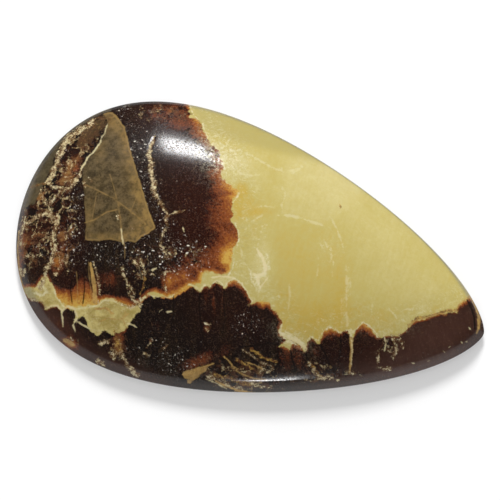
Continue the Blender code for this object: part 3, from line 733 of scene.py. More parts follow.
@dataclass(frozen=True)
class Pattern:
    """The stone's pattern: masks and distances for points given by where the camera sees them.

    Its places, lengths and edges are in pixels, and its tones and shares run from 0 to 1.
    """

    columns: np.ndarray
    rows: np.ndarray
    kept_depths: Point = (-30.0, 60.0)
    far: float = 20.0
    skin: float = 3.0
    spot_edge: float = 0.7
    crisp: float = 1.6
    soft: float = 4.5
    soft_reach: float = 40.0
    even_tone: float = 0.5
    pale_lift: float = 0.16
    ochre_drop: float = 0.13
    pocket_end: float = 150.0
    pocket_fade: float = 12.0
    fan_centre: Point = (120.0, 190.0)
    fan_pitch: float = 100.0
    upright_from: float = 286.0
    upright_left_from: float = 236.0
    left_end: float = 150.0
    lean_change: float = 275.0
    leans: Point = (0.06, -0.28)
    lean_row: float = 320.0

    def along_line(
        self, line: Sequence[Point], closed: bool
    ) -> tuple[np.ndarray, np.ndarray, np.ndarray]:
        """Nearest place of each point on a line.

        Args:
            line: The line's corners, in pixels.
            closed: Whether the last corner joins the first.

        Returns:
            Distance in pixels, the nearest segment's number, and the place along it from 0 to 1.
        """
        corners = np.asarray(line, dtype=float)
        nexts = np.roll(corners, -1, axis=0) if closed else corners[1:]
        starts = corners if closed else corners[:-1]
        best = np.full(self.columns.shape, np.inf)
        number = np.zeros(self.columns.shape, dtype=int)
        place = np.zeros(self.columns.shape)
        for i, (a, b) in enumerate(zip(starts, nexts)):
            run = b - a
            t = (self.columns - a[0]) * run[0] + (self.rows - a[1]) * run[1]
            t = np.clip(t / max(float(run @ run), 1e-9), 0.0, 1.0)
            gap = np.hypot(self.columns - a[0] - t * run[0], self.rows - a[1] - t * run[1])
            closer = gap < best
            best = np.where(closer, gap, best)
            number = np.where(closer, i, number)
            place = np.where(closer, t, place)
        return best, number, place

    def inside(self, line: Sequence[Point]) -> np.ndarray:
        """Which points lie inside a closed line.

        Args:
            line: The line's corners, in pixels.

        Returns:
            True for each point inside.
        """
        inside = np.zeros(self.columns.shape, dtype=bool)
        corners = list(line)
        for (ax, ay), (bx, by) in zip(corners, corners[1:] + corners[:1]):
            if ay == by:
                continue
            crosses = (ay > self.rows) != (by > self.rows)
            inside ^= crosses & (self.columns < (bx - ax) * (self.rows - ay) / (by - ay) + ax)
        return inside

    def depth(self, line: Sequence[Point]) -> np.ndarray:
        """Distance in pixels from a closed line, positive inside it."""
        gap = self.along_line(line, True)[0]
        return np.where(self.inside(line), gap, -gap)

    def within(self, line: Sequence[Point], softness: float) -> np.ndarray:
        """How far points lie inside a closed line.

        Args:
            line: The line's corners, in pixels.
            softness: How soft its edge is, in pixels.

        Returns:
            1 inside and 0 outside.
        """
        depth = np.clip(self.depth(line), -self.soft_reach, self.soft_reach)
        return 1.0 / (1.0 + np.exp(-depth / softness))

    def pools(self, pools: Sequence[Pool]) -> np.ndarray:
        """The sum of soft spots.

        Args:
            pools: The spots.

        Returns:
            Their sum at each point.
        """
        total = np.zeros(self.columns.shape)
        for pool in pools:
            turn = math.radians(pool.turn)
            dx, dy = self.columns - pool.x, self.rows - pool.y
            u = (dx * math.cos(turn) + dy * math.sin(turn)) / pool.rx
            v = (dy * math.cos(turn) - dx * math.sin(turn)) / pool.ry
            total += pool.strength * np.exp(-self.spot_edge * (u * u + v * v))
        return total

    def crystals(self, mass: Sequence[EdgePoint]) -> tuple[np.ndarray, np.ndarray]:
        """How deep points lie in a mass of crystals, and how much light reaches them from its edge.

        Args:
            mass: The points of its outline.

        Returns:
            Depth in pixels, positive inside, and light from 0 to 1.
        """
        line = [point[:2] for point in mass]
        gap, number, place = self.along_line(line, True)
        depth = np.where(self.inside(line), gap, -gap)
        facts = np.array([point[2:] for point in mass])
        ends = np.roll(facts, -1, axis=0)
        mixed = facts[number] * (1.0 - place[:, None]) + ends[number] * place[:, None]
        share = np.clip(1.0 - np.maximum(depth, 0.0) / mixed[:, 0], 0.0, 1.0)
        return depth, np.where(depth > -self.skin, mixed[:, 1] * share, 0.0)

    def seams(self, fill: Seam) -> np.ndarray:
        """Where points lie beside the strokes of one fill.

        A thin stroke may run between two points, so its side is kept too: the middle line is then
        found again between them, where the side changes from left to right.

        Args:
            fill: Which strokes.

        Returns:
            For each point the nearest stroke's half-width, the distance to its middle line with its
            side as the sign, and the depth below its edge, in pixels.
        """
        best = np.full(self.columns.shape, -self.far)
        half_width = np.zeros(self.columns.shape)
        side = np.full(self.columns.shape, self.far)
        for stroke in SEAMS:
            if stroke.fill is not fill:
                continue
            line = np.asarray(stroke.line)
            gap, number, place = self.along_line(stroke.line, False)
            share = (number + place) / (len(line) - 1)
            half = (stroke.start * (1.0 - share) + stroke.end * share) / 2.0
            start, run = line[number], (line[1:] - line[:-1])[number]
            dx, dy = self.columns - start[:, 0], self.rows - start[:, 1]
            left = np.where(run[:, 0] * dy - run[:, 1] * dx < 0.0, -1.0, 1.0)
            closer = half - gap > best
            best = np.where(closer, half - gap, best)
            half_width = np.where(closer, half, half_width)
            side = np.where(closer, left * gap, side)
        return np.column_stack((half_width, side, best))

    def grain(self) -> tuple[np.ndarray, np.ndarray]:
        """Where points lie in the grain of the crystals.

        The upper right crystals fan out from beside the chip, and the others stand upright.

        Returns:
            Places across and along the crystals, in pixels.
        """
        dx, dy = self.columns - self.fan_centre[0], self.rows - self.fan_centre[1]
        on_left = (self.rows > self.upright_left_from) & (self.columns < self.left_end)
        upright = (self.rows > self.upright_from) | on_left
        lean = np.where(self.columns > self.lean_change, self.leans[1], self.leans[0])
        stand_across = self.columns + lean * (self.rows - self.lean_row)
        across = np.where(upright, stand_across, np.arctan2(dy, dx) * self.fan_pitch)
        return across, np.where(upright, self.rows, np.hypot(dx, dy))

    def layers(self) -> dict[str, np.ndarray]:
        """All masks and distances that the stone's material reads.

        Returns:
            One array per name, with a value for each point.
        """
        upper, upper_light = self.crystals(UPPER_CRYSTALS)
        lower, lower_light = self.crystals(LOWER_CRYSTALS)
        amber = np.clip(self.pools(AMBER_POOLS), 0.0, 1.0)
        tone = self.even_tone + self.pools(LIGHT_POOLS)
        tone += self.pale_lift * self.within(PALE_PATCH, self.crisp)
        tone -= self.ochre_drop * self.within(OCHRE_ZONE, self.soft)
        across, along = self.grain()
        layers = {
            "crystal": np.clip(np.maximum(upper, lower), *self.kept_depths),
            "light": np.maximum(np.maximum(upper_light, lower_light), amber),
            "tone": np.clip(tone, 0.0, 1.0),
            "strip": self.within(FAR_STRIP, self.crisp),
            "pocket": np.clip((self.pocket_end - self.columns) / self.pocket_fade, 0.0, 1.0),
            "chip": np.clip(self.depth(CHIP), *self.kept_depths),
            "mudstone": np.clip(self.depth(MUDSTONE_RIM), *self.kept_depths),
            "across": across,
            "along": along,
        }
        for name, pools in SPOTS.items():
            layers[name] = np.clip(self.pools(pools), 0.0, 1.0)
        for seam in Seam:
            layers[seam.value] = self.seams(seam)
        return layers


class NodeSheet:
    """Adds shader nodes to a material or a world and joins them."""

    def __init__(self, owner: bpy.types.Material | bpy.types.World) -> None:
        """Starts on the owner's own nodes."""
        self.tree = owner.node_tree

    def add(self, kind: str, **settings: object) -> bpy.types.Node:
        """Adds one node.

        Args:
            kind: The node's type name without its prefix.
            settings: Attributes to set on it.

        Returns:
            The node.
        """
        node = self.tree.nodes.new("ShaderNode" + kind)
        for name, value in settings.items():
            setattr(node, name, value)
        return node

    def put(self, socket: Socket, value: object) -> None:
        """Joins a socket to another, or sets its value.

        Args:
            socket: The socket that takes the value.
            value: Another socket, a number or a colour.
        """
        if isinstance(value, Socket):
            self.tree.links.new(value, socket)
        elif isinstance(value, tuple) and len(value) == 3 and socket.type == "RGBA":
            socket.default_value = (*value, 1.0)
        else:
            socket.default_value = value

    def math(self, operation: str, a: object, b: object = 0.0, clamp: bool = False) -> Socket:
        """A step on two values, such as their difference or the smaller one.

        Args:
            operation: The step's name.
            a: The first value.
            b: The second one.
            clamp: Whether the result is held between 0 and 1.

        Returns:
            The result.
        """
        node = self.add("Math", operation=operation, use_clamp=clamp)
        self.put(node.inputs[0], a)
        self.put(node.inputs[1], b)
        return node.outputs[0]

    def times(self, a: object, b: object) -> Socket:
        """The product of two values."""
        return self.math("MULTIPLY", a, b)

    def plus(self, total: object, *others: object) -> Socket:
        """The sum of values.

        Args:
            total: The first value.
            others: The other ones.

        Returns:
            Their sum.
        """
        for other in others:
            total = self.math("ADD", total, other)
        return total

    def span(
        self, value: object, low: float, high: float, to_low: float = 0.0, to_high: float = 1.0
    ) -> Socket:
        """A value moved smoothly from one range to another, and held at its ends.

        Args:
            value: The value.
            low: Where the range starts.
            high: Where it ends.
            to_low: What low becomes.
            to_high: What high becomes.

        Returns:
            The moved value.
        """
        node = self.add("MapRange", interpolation_type="SMOOTHSTEP", clamp=True)
        names = ("Value", "From Min", "From Max", "To Min", "To Max")
        for name, number in zip(names, (value, low, high, to_low, to_high)):
            self.put(node.inputs[name], number)
        return node.outputs["Result"]

    def stretched(self, place: Socket, scale: tuple[float, float, float]) -> Socket:
        """A place scaled by its own amount along each axis.

        Args:
            place: The place.
            scale: The amounts.

        Returns:
            The scaled place.
        """
        node = self.add("Mapping")
        self.put(node.inputs["Vector"], place)
        node.inputs["Scale"].default_value = scale
        return node.outputs["Vector"]

    def mix(self, share: object, a: object, b: object, blend: str = "MIX") -> Socket:
        """Two colours mixed by a share.

        Args:
            share: How much of the second colour there is.
            a: The first colour.
            b: The second one.
            blend: How they are mixed.

        Returns:
            The mixed colour.
        """
        node = self.add("Mix", data_type="RGBA", blend_type=blend)
        self.put(node.inputs["Factor"], share)
        self.put(node.inputs[6], a)
        self.put(node.inputs[7], b)
        return node.outputs[2]

    def ramp(self, value: Socket, *stops: tuple[float, Colour]) -> Socket:
        """A colour for a value, from a row of stops.

        Args:
            value: The value, from 0 to 1.
            stops: Places in that range, each with its colour.

        Returns:
            The colour.
        """
        node = self.add("ValToRGB")
        ramp = node.color_ramp
        while len(ramp.elements) < len(stops):
            ramp.elements.new(0.5)
        for element, (place, colour) in zip(ramp.elements, stops):
            element.position = place
            element.color = (*colour, 1.0)
        self.put(node.inputs["Fac"], value)
        return node.outputs["Color"]


@dataclass(frozen=True)
class CalciteFinish:
    """The polished stone's colours, gloss and fine relief."""

    ochre: Colour = (0.425, 0.298, 0.056)
    straw: Colour = (0.412, 0.342, 0.112)
    pale: Colour = (0.48, 0.415, 0.190)
    pocket: Colour = (0.275, 0.200, 0.050)
    pocket_light: Colour = (0.52, 0.43, 0.17)
    # Painted shade on the wall and the foot of the shoulder
    rim_shade: Colour = (0.27, 0.245, 0.12)
    # Painted shade of the far strip; the same olive also darkens strands near the crystals
    strip_shade: Colour = (0.32, 0.272, 0.098)
    veil: Colour = (0.60, 0.55, 0.36)
    black: Colour = (0.008, 0.005, 0.004)
    maroon: Colour = (0.020, 0.0050, 0.0028)
    rust: Colour = (0.085, 0.019, 0.007)
    red_brown: Colour = (0.20, 0.054, 0.013)
    amber: Colour = (0.35, 0.145, 0.022)
    honey: Colour = (0.48, 0.30, 0.060)
    chocolate: Colour = (0.066, 0.029, 0.020)
    bronze: Colour = (0.021, 0.012, 0.0055)
    umber: Colour = (0.078, 0.034, 0.016)
    ember: Colour = (0.165, 0.070, 0.022)
    chip_dark: Colour = (0.036, 0.026, 0.012)
    chip_light: Colour = (0.114, 0.079, 0.036)
    chip_rim: Colour = (0.28, 0.175, 0.056)
    mudstone: Colour = (0.070, 0.053, 0.027)
    cream: Colour = (0.56, 0.48, 0.27)
    tan: Colour = (0.24, 0.145, 0.055)
    gold: Colour = (0.20, 0.12, 0.038)
    brass: Colour = (0.46, 0.29, 0.088)
    # White specks: partly white grains, partly painted glints of small crystal facets
    speck_and_glint: Colour = (0.74, 0.69, 0.60)
    sheen: Colour = (0.26, 0.17, 0.12)
    sand: Colour = (0.34, 0.19, 0.10)
    stroke_slack: float = 0.7
    roughness: float = 0.07
    uneven_gloss: float = 0.10
    cream_roughness: float = 0.25
    cream_depth: float = 0.8
    relief: float = 0.012 * MM
    relief_strength: float = 0.5
    ior: float = 1.6
    bleed: float = 0.5 * MM
    bleed_weight: float = 0.25
    bleed_colour: Colour = (1.0, 0.7, 0.3)

    def material(self) -> bpy.types.Material:
        """Builds the stone's material.

        Returns:
            The material.
        """
        material = bpy.data.materials.new("polished_septarian_calcite")
        material.use_nodes = True
        shader = material.node_tree.nodes["Principled BSDF"]
        CalciteSheet(material, self).paint(shader)
        shader.inputs["IOR"].default_value = self.ior
        shader.inputs["Subsurface Weight"].default_value = self.bleed_weight
        shader.inputs["Subsurface Radius"].default_value = self.bleed_colour
        shader.inputs["Subsurface Scale"].default_value = self.bleed
        return material


class CalciteSheet(NodeSheet):
    """The stone's shader nodes. A noise's grain is its scale, detail, roughness and bend."""

    def __init__(self, material: bpy.types.Material, look: CalciteFinish) -> None:
        """Starts on a material's own nodes, with the place on the stone in millimetres."""
        super().__init__(material)
        self.look = look
        self.place = self.stretched(self.add("TexCoord").outputs["Object"], (1.0 / MM,) * 3)

    def layer(self, name: str) -> Socket:
        """The value of one of the stone's layers."""
        return self.add("Attribute", attribute_name=name).outputs["Fac"]

    def stroke(self, seam: Seam) -> Socket:
        """How deep a place lies in the nearest stroke with one filling.

        Args:
            seam: The filling.

        Returns:
            Depth below the stroke's edge, in pixels.
        """
        parts = self.add("SeparateXYZ")
        layer = self.add("Attribute", attribute_name=seam.value)
        self.put(parts.inputs[0], layer.outputs["Vector"])
        exact = self.math("SUBTRACT", parts.outputs[0], self.math("ABSOLUTE", parts.outputs[1]))
        return self.math("MINIMUM", exact, self.plus(parts.outputs[2], self.look.stroke_slack))

    def seam(self, seam: Seam, fray: Socket, edges: Point, most: float = 1.0) -> Socket:
        """How much of one filling shows at a place.

        Args:
            seam: The filling.
            fray: Pixels by which its edge is moved.
            edges: Depths at which it starts and is full.
            most: Its share where it is full.

        Returns:
            The share.
        """
        return self.span(self.plus(self.stroke(seam), fray), *edges, 0.0, most)

    def noise(
        self,
        scale: float,
        detail: float = 2.0,
        rough: float = 0.5,
        bend: float = 0.0,
        place: Socket | None = None,
    ) -> Socket:
        """Cloudy noise around a half.

        Args:
            scale: How fine it is.
            detail: How many finer layers it has.
            rough: How strong those are.
            bend: How much it is bent.
            place: Where it is read, if not at the place on the stone.

        Returns:
            The noise.
        """
        node = self.add("TexNoise")
        self.put(node.inputs["Vector"], self.place if place is None else place)
        names = ("Scale", "Detail", "Roughness", "Distortion")
        for name, number in zip(names, (scale, detail, rough, bend)):
            node.inputs[name].default_value = number
        return node.outputs["Fac"]

    def patches(
        self, grain: Sequence[float], share: Point = (0.0, 1.0), edges: Point = MIDDLE
    ) -> Socket:
        """Soft patches cut out of noise.

        Args:
            grain: The noise's grain.
            share: The value outside the patches and the value inside.
            edges: Where in the noise a patch starts and where it is full.

        Returns:
            The value.
        """
        return self.span(self.noise(*grain), *edges, *share)

    def cells(
        self, place: Socket, scale: float, feature: str = "F1", output: str = "Distance"
    ) -> Socket:
        """A field of cells.

        Args:
            place: Where it is read.
            scale: How small the cells are.
            feature: From what the distance is measured: "F1" for their centres.
            output: What is read.

        Returns:
            The distance, or what else is read.
        """
        node = self.add("TexVoronoi", feature=feature)
        self.put(node.inputs["Vector"], place)
        node.inputs["Scale"].default_value = scale
        return node.outputs[output]

    def facets(self, place: Socket, scale: float) -> Socket:
        """One value between 0 and 1 for each cell of such a field."""
        return self.cells(place, scale, output="Color")

    def bent(self, scale: float, amount: float) -> Socket:
        """The place moved about by noise, so that cells read there lose their straight sides.

        Args:
            scale: How fine the noise is.
            amount: How far it moves the place.

        Returns:
            The moved place.
        """
        noise = self.add("TexNoise")
        self.put(noise.inputs["Vector"], self.place)
        noise.inputs["Scale"].default_value = scale
        noise.inputs["Detail"].default_value = 3.0
        shift = self.add("VectorMath", operation="MULTIPLY_ADD")
        self.put(shift.inputs[0], noise.outputs["Color"])
        shift.inputs[1].default_value = (amount,) * 3
        self.put(shift.inputs[2], self.place)
        return shift.outputs[0]

    def grid(self, wide: float, long: float) -> Socket:
        """Place across and along the crystals.

        Args:
            wide: Width of a cell, in pixels.
            long: Its length, in pixels.

        Returns:
            The place, counted in cells.
        """
        node = self.add("CombineXYZ")
        self.put(node.inputs["X"], self.times(self.layer("across"), 1.0 / wide))
        self.put(node.inputs["Y"], self.times(self.layer("along"), 1.0 / long))
        return node.outputs[0]

    def yellow(self) -> Socket:
        """The yellow calcite: cloudy, deeper and paler in places, with whitish cracks. It carries
        painted shade on the wall and in a strip along the far edge, and a painted highlight haze
        beside the softbox's reflection.

        Returns:
            Its colour.
        """
        look = self.look
        upright = self.noise(1.0, 3.0, 0.6, place=self.stretched(self.place, (3.4, 0.5, 1.0)))
        wisps = self.patches((1.5, 5.0, 0.75, 1.6), (0.0, 0.40), (0.47, 0.66))
        dusk = self.patches((1.1, 4.0, 0.75, 0.8), (0.0, -0.34), (0.50, 0.72))
        near = self.span(self.layer("crystal"), -30.0, -3.0, 0.25, 1.0)
        tone = self.plus(
            self.layer("tone"),
            self.patches((0.35, 3.0, 0.55, 0.6), (-0.06, 0.06)),
            self.patches((3.5, 4.0, 0.6), (-0.05, 0.05)),
            self.span(upright, *MIDDLE, -0.06, 0.06),
            self.times(wisps, near),
            self.times(dusk, near),
        )
        colour = self.ramp(tone, (0.0, look.ochre), (0.5, look.straw), (1.0, look.pale))
        colour = self.mix(self.times(self.layer("pocket"), 0.9), colour, self.filling())
        # Painted shade: the wall and a strip along the far edge are darkened
        colour = self.mix(self.times(self.layer("wall"), 0.6), colour, look.rim_shade)
        colour = self.mix(self.times(self.layer("strip"), 0.70), colour, look.strip_shade)

        flat = self.stretched(self.place, (1.6, 2.4, 1.0))
        strands = self.noise(1.0, 5.0, 0.8, 2.0, flat)
        near = self.span(self.layer("crystal"), -34.0, -8.0)
        bright = self.times(self.span(strands, 0.53, 0.67, 0.0, 0.46), near)
        colour = self.mix(bright, colour, look.veil)
        deep = self.times(self.span(strands, 0.32, 0.47, 0.64, 0.14), near)
        colour = self.mix(deep, colour, look.strip_shade)

        cracks = self.seam(Seam.PALE, self.patches((3.5, 4.0, 0.7), (-1.0, 0.7)), (-0.8, 0.9))
        broken = self.patches((4.5, 4.0, 0.8), (0.25, 0.85), (0.36, 0.60))
        colour = self.mix(self.times(cracks, broken), colour, look.veil)
        faded = self.patches((1.1, 4.0, 0.75), (-2.2, 0.4), (0.36, 0.62))
        return self.mix(self.seam(Seam.FAINT, faded, (-1.5, 1.0), 0.34), colour, look.veil)

    def filling(self) -> Socket:
        """The pocket's calcite: olive and pale crystals side by side, palest along its rim.

        Returns:
            Its colour.
        """
        look = self.look
        bent = self.bent(1.2, 0.8)
        shade = self.plus(
            self.times(self.facets(bent, 1.15), 0.42),
            self.patches((1.3, 5.0, 0.75, 0.5), (0.08, 0.62)),
            self.span(self.layer("crystal"), -4.0, -0.8, 0.0, 0.24),
        )
        colour = self.mix(self.span(shade, 0.22, 0.94), look.pocket, look.pocket_light)
        cracks = self.span(self.cells(bent, 1.15, "DISTANCE_TO_EDGE"), 0.0, 0.05, 1.0, 0.0)
        patchy = self.patches((2.0, 3.0, 0.7), (0.0, 0.5), (0.46, 0.60))
        return self.mix(self.times(cracks, patchy), colour, look.tan)

    def mosaic(self) -> Socket:
        """Crystal ends side by side, black to tan, with dark gaps and cream crumbs between.

        Returns:
            Their colour.
        """
        look = self.look
        bent = self.bent(1.5, 0.9)
        ends = self.plus(
            self.times(self.facets(bent, 1.3), 0.55),
            self.times(self.layer("light"), 0.45),
            self.patches((2.2, 5.0, 0.8), (-0.20, 0.20)),
        )
        dark = ((0.14, look.black), (0.32, look.maroon), (0.50, look.umber))
        bright = ((0.66, look.ember), (0.82, look.gold), (1.0, look.brass))
        colour = self.ramp(ends, *dark, *bright)
        edge = self.cells(bent, 1.3, "DISTANCE_TO_EDGE")
        swell = self.patches((1.2, 5.0, 0.8), (-0.08, 0.12), (0.44, 0.62))
        border = self.span(self.math("SUBTRACT", edge, swell), -0.01, 0.04, 1.0, 0.0)
        grain = self.patches((4.5, 4.0, 0.85), edges=(0.34, 0.60))
        between = self.ramp(grain, (0.0, look.umber), (0.6, look.tan), (1.0, look.cream))
        colour = self.mix(self.times(border, 0.74), colour, between)
        holes = self.patches((1.8, 4.0, 0.8), (0.0, 0.95), (0.60, 0.64))
        colour = self.mix(holes, colour, look.black)
        crumbs = self.patches((4.2, 5.0, 0.85, 0.4), (0.0, 0.9), (0.65, 0.71))
        return self.mix(crumbs, colour, look.veil)

    def brown(self) -> Socket:
        """The brown crystals: black to maroon inside, red-brown to amber where light comes in.

        Returns:
            Their colour.
        """
        look = self.look
        streak = self.noise(1.0, 4.0, 0.6, 0.3, self.grid(4.5, 33.0))
        light = self.layer("light")
        lit = self.span(light, 0.0, 0.3, 0.30, 1.0)
        for change in (
            self.span(streak, 0.25, 0.75, -0.07, 0.07),
            self.span(self.facets(self.grid(8.0, 22.0), 1.0), 0.2, 0.8, -0.05, 0.05),
            self.patches((6.0, 4.0, 0.8), (-0.16, 0.14)),
        ):
            light = self.plus(light, self.times(change, lit))
        body = self.mix(self.layer("red"), look.black, look.maroon)
        pillar = self.span(self.facets(self.grid(9.0, 55.0), 1.0), 0.45, 0.95, 0.0, 0.75)
        far_in = self.math("SUBTRACT", 1.0, self.layer("red"), clamp=True)
        body = self.mix(self.times(pillar, far_in), body, look.bronze)
        milky = self.mix(self.span(streak, 0.35, 0.6, 0.0, 0.22), look.chocolate, look.maroon)
        body = self.mix(self.layer("milk"), body, milky)
        deep = ((0.0, look.maroon), (0.25, look.rust), (0.50, look.red_brown))
        glow = self.ramp(light, *deep, (0.73, look.amber), (0.95, look.honey))
        colour = self.mix(self.span(light, 0.02, 0.35), body, glow)

        sand = self.patches((4.6, 5.0, 0.9), (0.0, 0.5), (0.54, 0.67))
        colour = self.mix(self.times(sand, lit), colour, look.sand)
        velvet = self.times(
            self.patches((9.0, 3.0, 0.8), (0.0, 0.24), (0.53, 0.75)),
            self.patches((0.9, 3.0, 0.6), (0.25, 1.0), (0.35, 0.65)),
        )
        clear = self.math("SUBTRACT", 1.0, self.layer("milk"))
        colour = self.mix(self.times(velvet, clear), colour, look.sheen)
        line = self.span(self.stroke(Seam.DARK), -0.6, 0.5, 0.0, 0.85)
        colour = self.mix(line, colour, look.black)
        mixed = self.plus(self.layer("mottle"), self.patches((1.8, 4.0, 0.75), (-0.3, 0.3)))
        return self.mix(self.span(mixed, 0.25, 0.65, 0.0, 0.92), colour, self.mosaic())

    def specks(self) -> Socket:
        """Bright specks among the sugary crystals: partly white grains, partly painted glints of
        small facets.

        Returns:
            Their share.
        """
        sugar = self.layer("sugar")
        crowd = self.plus(self.noise(1.5, 4.0, 0.8), self.times(sugar, 0.24))
        bent = self.bent(5.0, 0.35)
        dots = self.span(self.cells(bent, 3.6), 0.10, 0.33, 1.0, 0.0)
        dots = self.times(dots, self.span(self.facets(bent, 3.6), 0.52, 0.76))
        fine = self.patches((6.5, 4.0, 0.85), (0.0, 0.55), (0.59, 0.69))
        dots = self.times(self.math("MAXIMUM", dots, fine), self.span(crowd, 0.59, 0.70))
        return self.times(dots, self.span(sugar, 0.05, 0.6))

    def chip(self) -> Socket:
        """The mudstone chip: mottled grey-brown with a golden rim.

        Returns:
            Its colour.
        """
        look = self.look
        mottle = self.patches((1.6, 5.0, 0.8), edges=(0.36, 0.64))
        colour = self.mix(mottle, look.chip_dark, look.chip_light)
        grains = self.patches((5.0, 4.0, 0.8), (0.0, 0.40), (0.58, 0.70))
        colour = self.mix(grains, colour, look.tan)
        pits = self.patches((4.0, 4.0, 0.8), (0.55, 0.0), (0.36, 0.42))
        colour = self.mix(pits, colour, look.black)
        wander = self.patches((1.4, 4.0, 0.7), (0.1, 0.8), (0.35, 0.65))
        rim = self.span(self.layer("chip"), 0.2, 3.2, 1.0, 0.0)
        gilt = self.times(self.math("MAXIMUM", wander, rim), self.layer("gilt"))
        return self.mix(gilt, colour, look.chip_rim)

    def earthy(self) -> Socket:
        """Golden brown earth beside the chip.

        Returns:
            Its colour.
        """
        look = self.look
        colour = self.mix(self.patches((2.6, 4.0, 0.75)), look.chip_dark, look.umber)
        grains = self.patches((5.0, 4.0, 0.8), (0.0, 0.8), (0.52, 0.66))
        return self.mix(grains, colour, look.gold)

    def rock(self, ragged: Socket, is_brown: Socket) -> Socket:
        """Everything but the seams: calcite, crystals, mudstone and earth.

        Args:
            ragged: Pixels by which their edges are moved.
            is_brown: Where the brown crystals are.

        Returns:
            The colour.
        """
        look = self.look
        colour = self.mix(is_brown, self.yellow(), self.brown())
        # Bright specks: white grains and painted glints
        colour = self.mix(self.times(self.specks(), is_brown), colour, look.speck_and_glint)
        # Pale grains, and beside the highlight a painted reflection haze
        frost_and_glare = self.patches((4.4, 5.0, 0.9), (0.0, 0.85), (0.47, 0.64))
        colour = self.mix(self.times(frost_and_glare, self.layer("frost_and_glare")), colour, look.veil)
        mottle = self.patches((1.8, 5.0, 0.7), (0.55, 1.3))
        mudstone = self.mix(1.0, look.mudstone, mottle, "MULTIPLY")
        in_mudstone = self.span(self.plus(self.layer("mudstone"), ragged), -1.0, 1.0)
        colour = self.mix(in_mudstone, colour, mudstone)
        in_chip = self.span(self.plus(self.layer("chip"), self.times(ragged, 0.4)), -0.7, 0.7)
        colour = self.mix(in_chip, colour, self.chip())
        earth = self.times(self.layer("earth"), self.span(ragged, -1.5, 1.5, 0.6, 1.3))
        return self.mix(self.span(earth, 0.2, 0.75, 0.0, 0.9), colour, self.earthy())

    def veins(self, colour: Socket) -> tuple[Socket, Socket]:
        """Lays the seams over the rock.

        Args:
            colour: The rock's colour.

        Returns:
            The new colour, and where the cream crumbs are.
        """
        look = self.look
        frayed = self.patches((3.0, 4.0, 0.75), (-0.7, 0.5))
        torn = self.patches((2.0, 4.0, 0.85), (-1.5, 1.2))
        shade = self.patches((5.0, 3.0, 0.8), edges=(0.35, 0.65))
        golden = self.mix(shade, look.rust, look.gold)
        golden = self.mix(self.span(shade, 0.6, 1.0), golden, look.honey)
        colour = self.mix(self.seam(Seam.GOLD, torn, (-0.8, 0.8), 0.85), colour, golden)
        uneven = self.patches((2.2, 3.0, 0.7), (0.2, 0.62), (0.35, 0.6))
        line = self.times(self.span(self.stroke(Seam.LINE), -0.8, 0.6), uneven)
        colour = self.mix(line, colour, look.chip_rim)
        brassy = self.patches((2.0, 4.0, 0.7), edges=(0.35, 0.65))
        tan = self.mix(brassy, look.chip_rim, look.brass)
        tan = self.mix(self.span(shade, 0.1, 0.6, 0.25, 0.0), tan, look.ember)
        colour = self.mix(self.seam(Seam.TAN, frayed, (-0.6, 0.8), 0.93), colour, tan)
        colour, in_cream = self.crumbly(colour)
        thread = self.seam(Seam.THREAD, frayed, (-0.8, 0.6), 0.85)
        return self.mix(thread, colour, look.cream), in_cream

    def crumbly(self, colour: Socket) -> tuple[Socket, Socket]:
        """Fills the granular cream seams, over a golden ground.

        Args:
            colour: The colour below.

        Returns:
            The new colour, and where the crumbs are.
        """
        look = self.look
        depth = self.plus(self.stroke(Seam.CREAM), self.patches((1.3, 4.0, 0.8), (-2.0, 1.6)))
        ground = self.span(depth, -1.6, 1.4, 0.0, 0.7)
        grit = self.patches((4.0, 4.0, 0.8), edges=(0.38, 0.62))
        colour = self.mix(ground, colour, self.mix(grit, look.rust, look.tan))
        wander = self.patches((3.0, 5.0, 0.9), (-2.8, 2.6))
        crumbs = self.span(self.plus(self.math("MINIMUM", depth, 0.8), wander), 0.3, 1.3)
        gaps = self.patches((2.4, 4.0, 0.8), (0.0, 0.9), (0.55, 0.62))
        colour = self.mix(self.times(gaps, ground), colour, look.maroon)
        shade = self.patches((4.0, 5.0, 0.85), edges=(0.32, 0.58))
        grains = self.mix(shade, look.tan, look.cream)
        bright = self.span(self.facets(self.place, 4.4), 0.62, 0.92)
        grains = self.mix(bright, grains, look.veil)
        return self.mix(self.times(crumbs, 0.95), colour, grains), crumbs

    def paint(self, shader: bpy.types.Node) -> None:
        """Gives a shader the stone's colour, gloss and relief.

        Args:
            shader: The shader.
        """
        look = self.look
        ragged = self.patches((2.6, 5.0, 0.7), (-1.7, 1.7), (0.25, 0.75))
        is_brown = self.span(self.plus(self.layer("crystal"), ragged), -0.7, 0.7)
        colour, in_cream = self.veins(self.rock(ragged, is_brown))
        self.put(shader.inputs["Base Color"], colour)
        rough = self.plus(
            self.times(self.noise(6.0, 3.0), look.uneven_gloss),
            look.roughness,
            self.times(in_cream, look.cream_roughness),
        )
        self.put(shader.inputs["Roughness"], rough)
        pits = self.times(self.patches((9.0, 3.0, 0.8), (0.0, -1.0), (0.54, 0.70)), is_brown)
        relief = self.math("SUBTRACT", pits, self.times(in_cream, look.cream_depth))
        bump = self.add("Bump")
        bump.inputs["Strength"].default_value = look.relief_strength
        bump.inputs["Distance"].default_value = look.relief
        self.put(bump.inputs["Height"], relief)
        self.put(shader.inputs["Normal"], bump.outputs["Normal"])


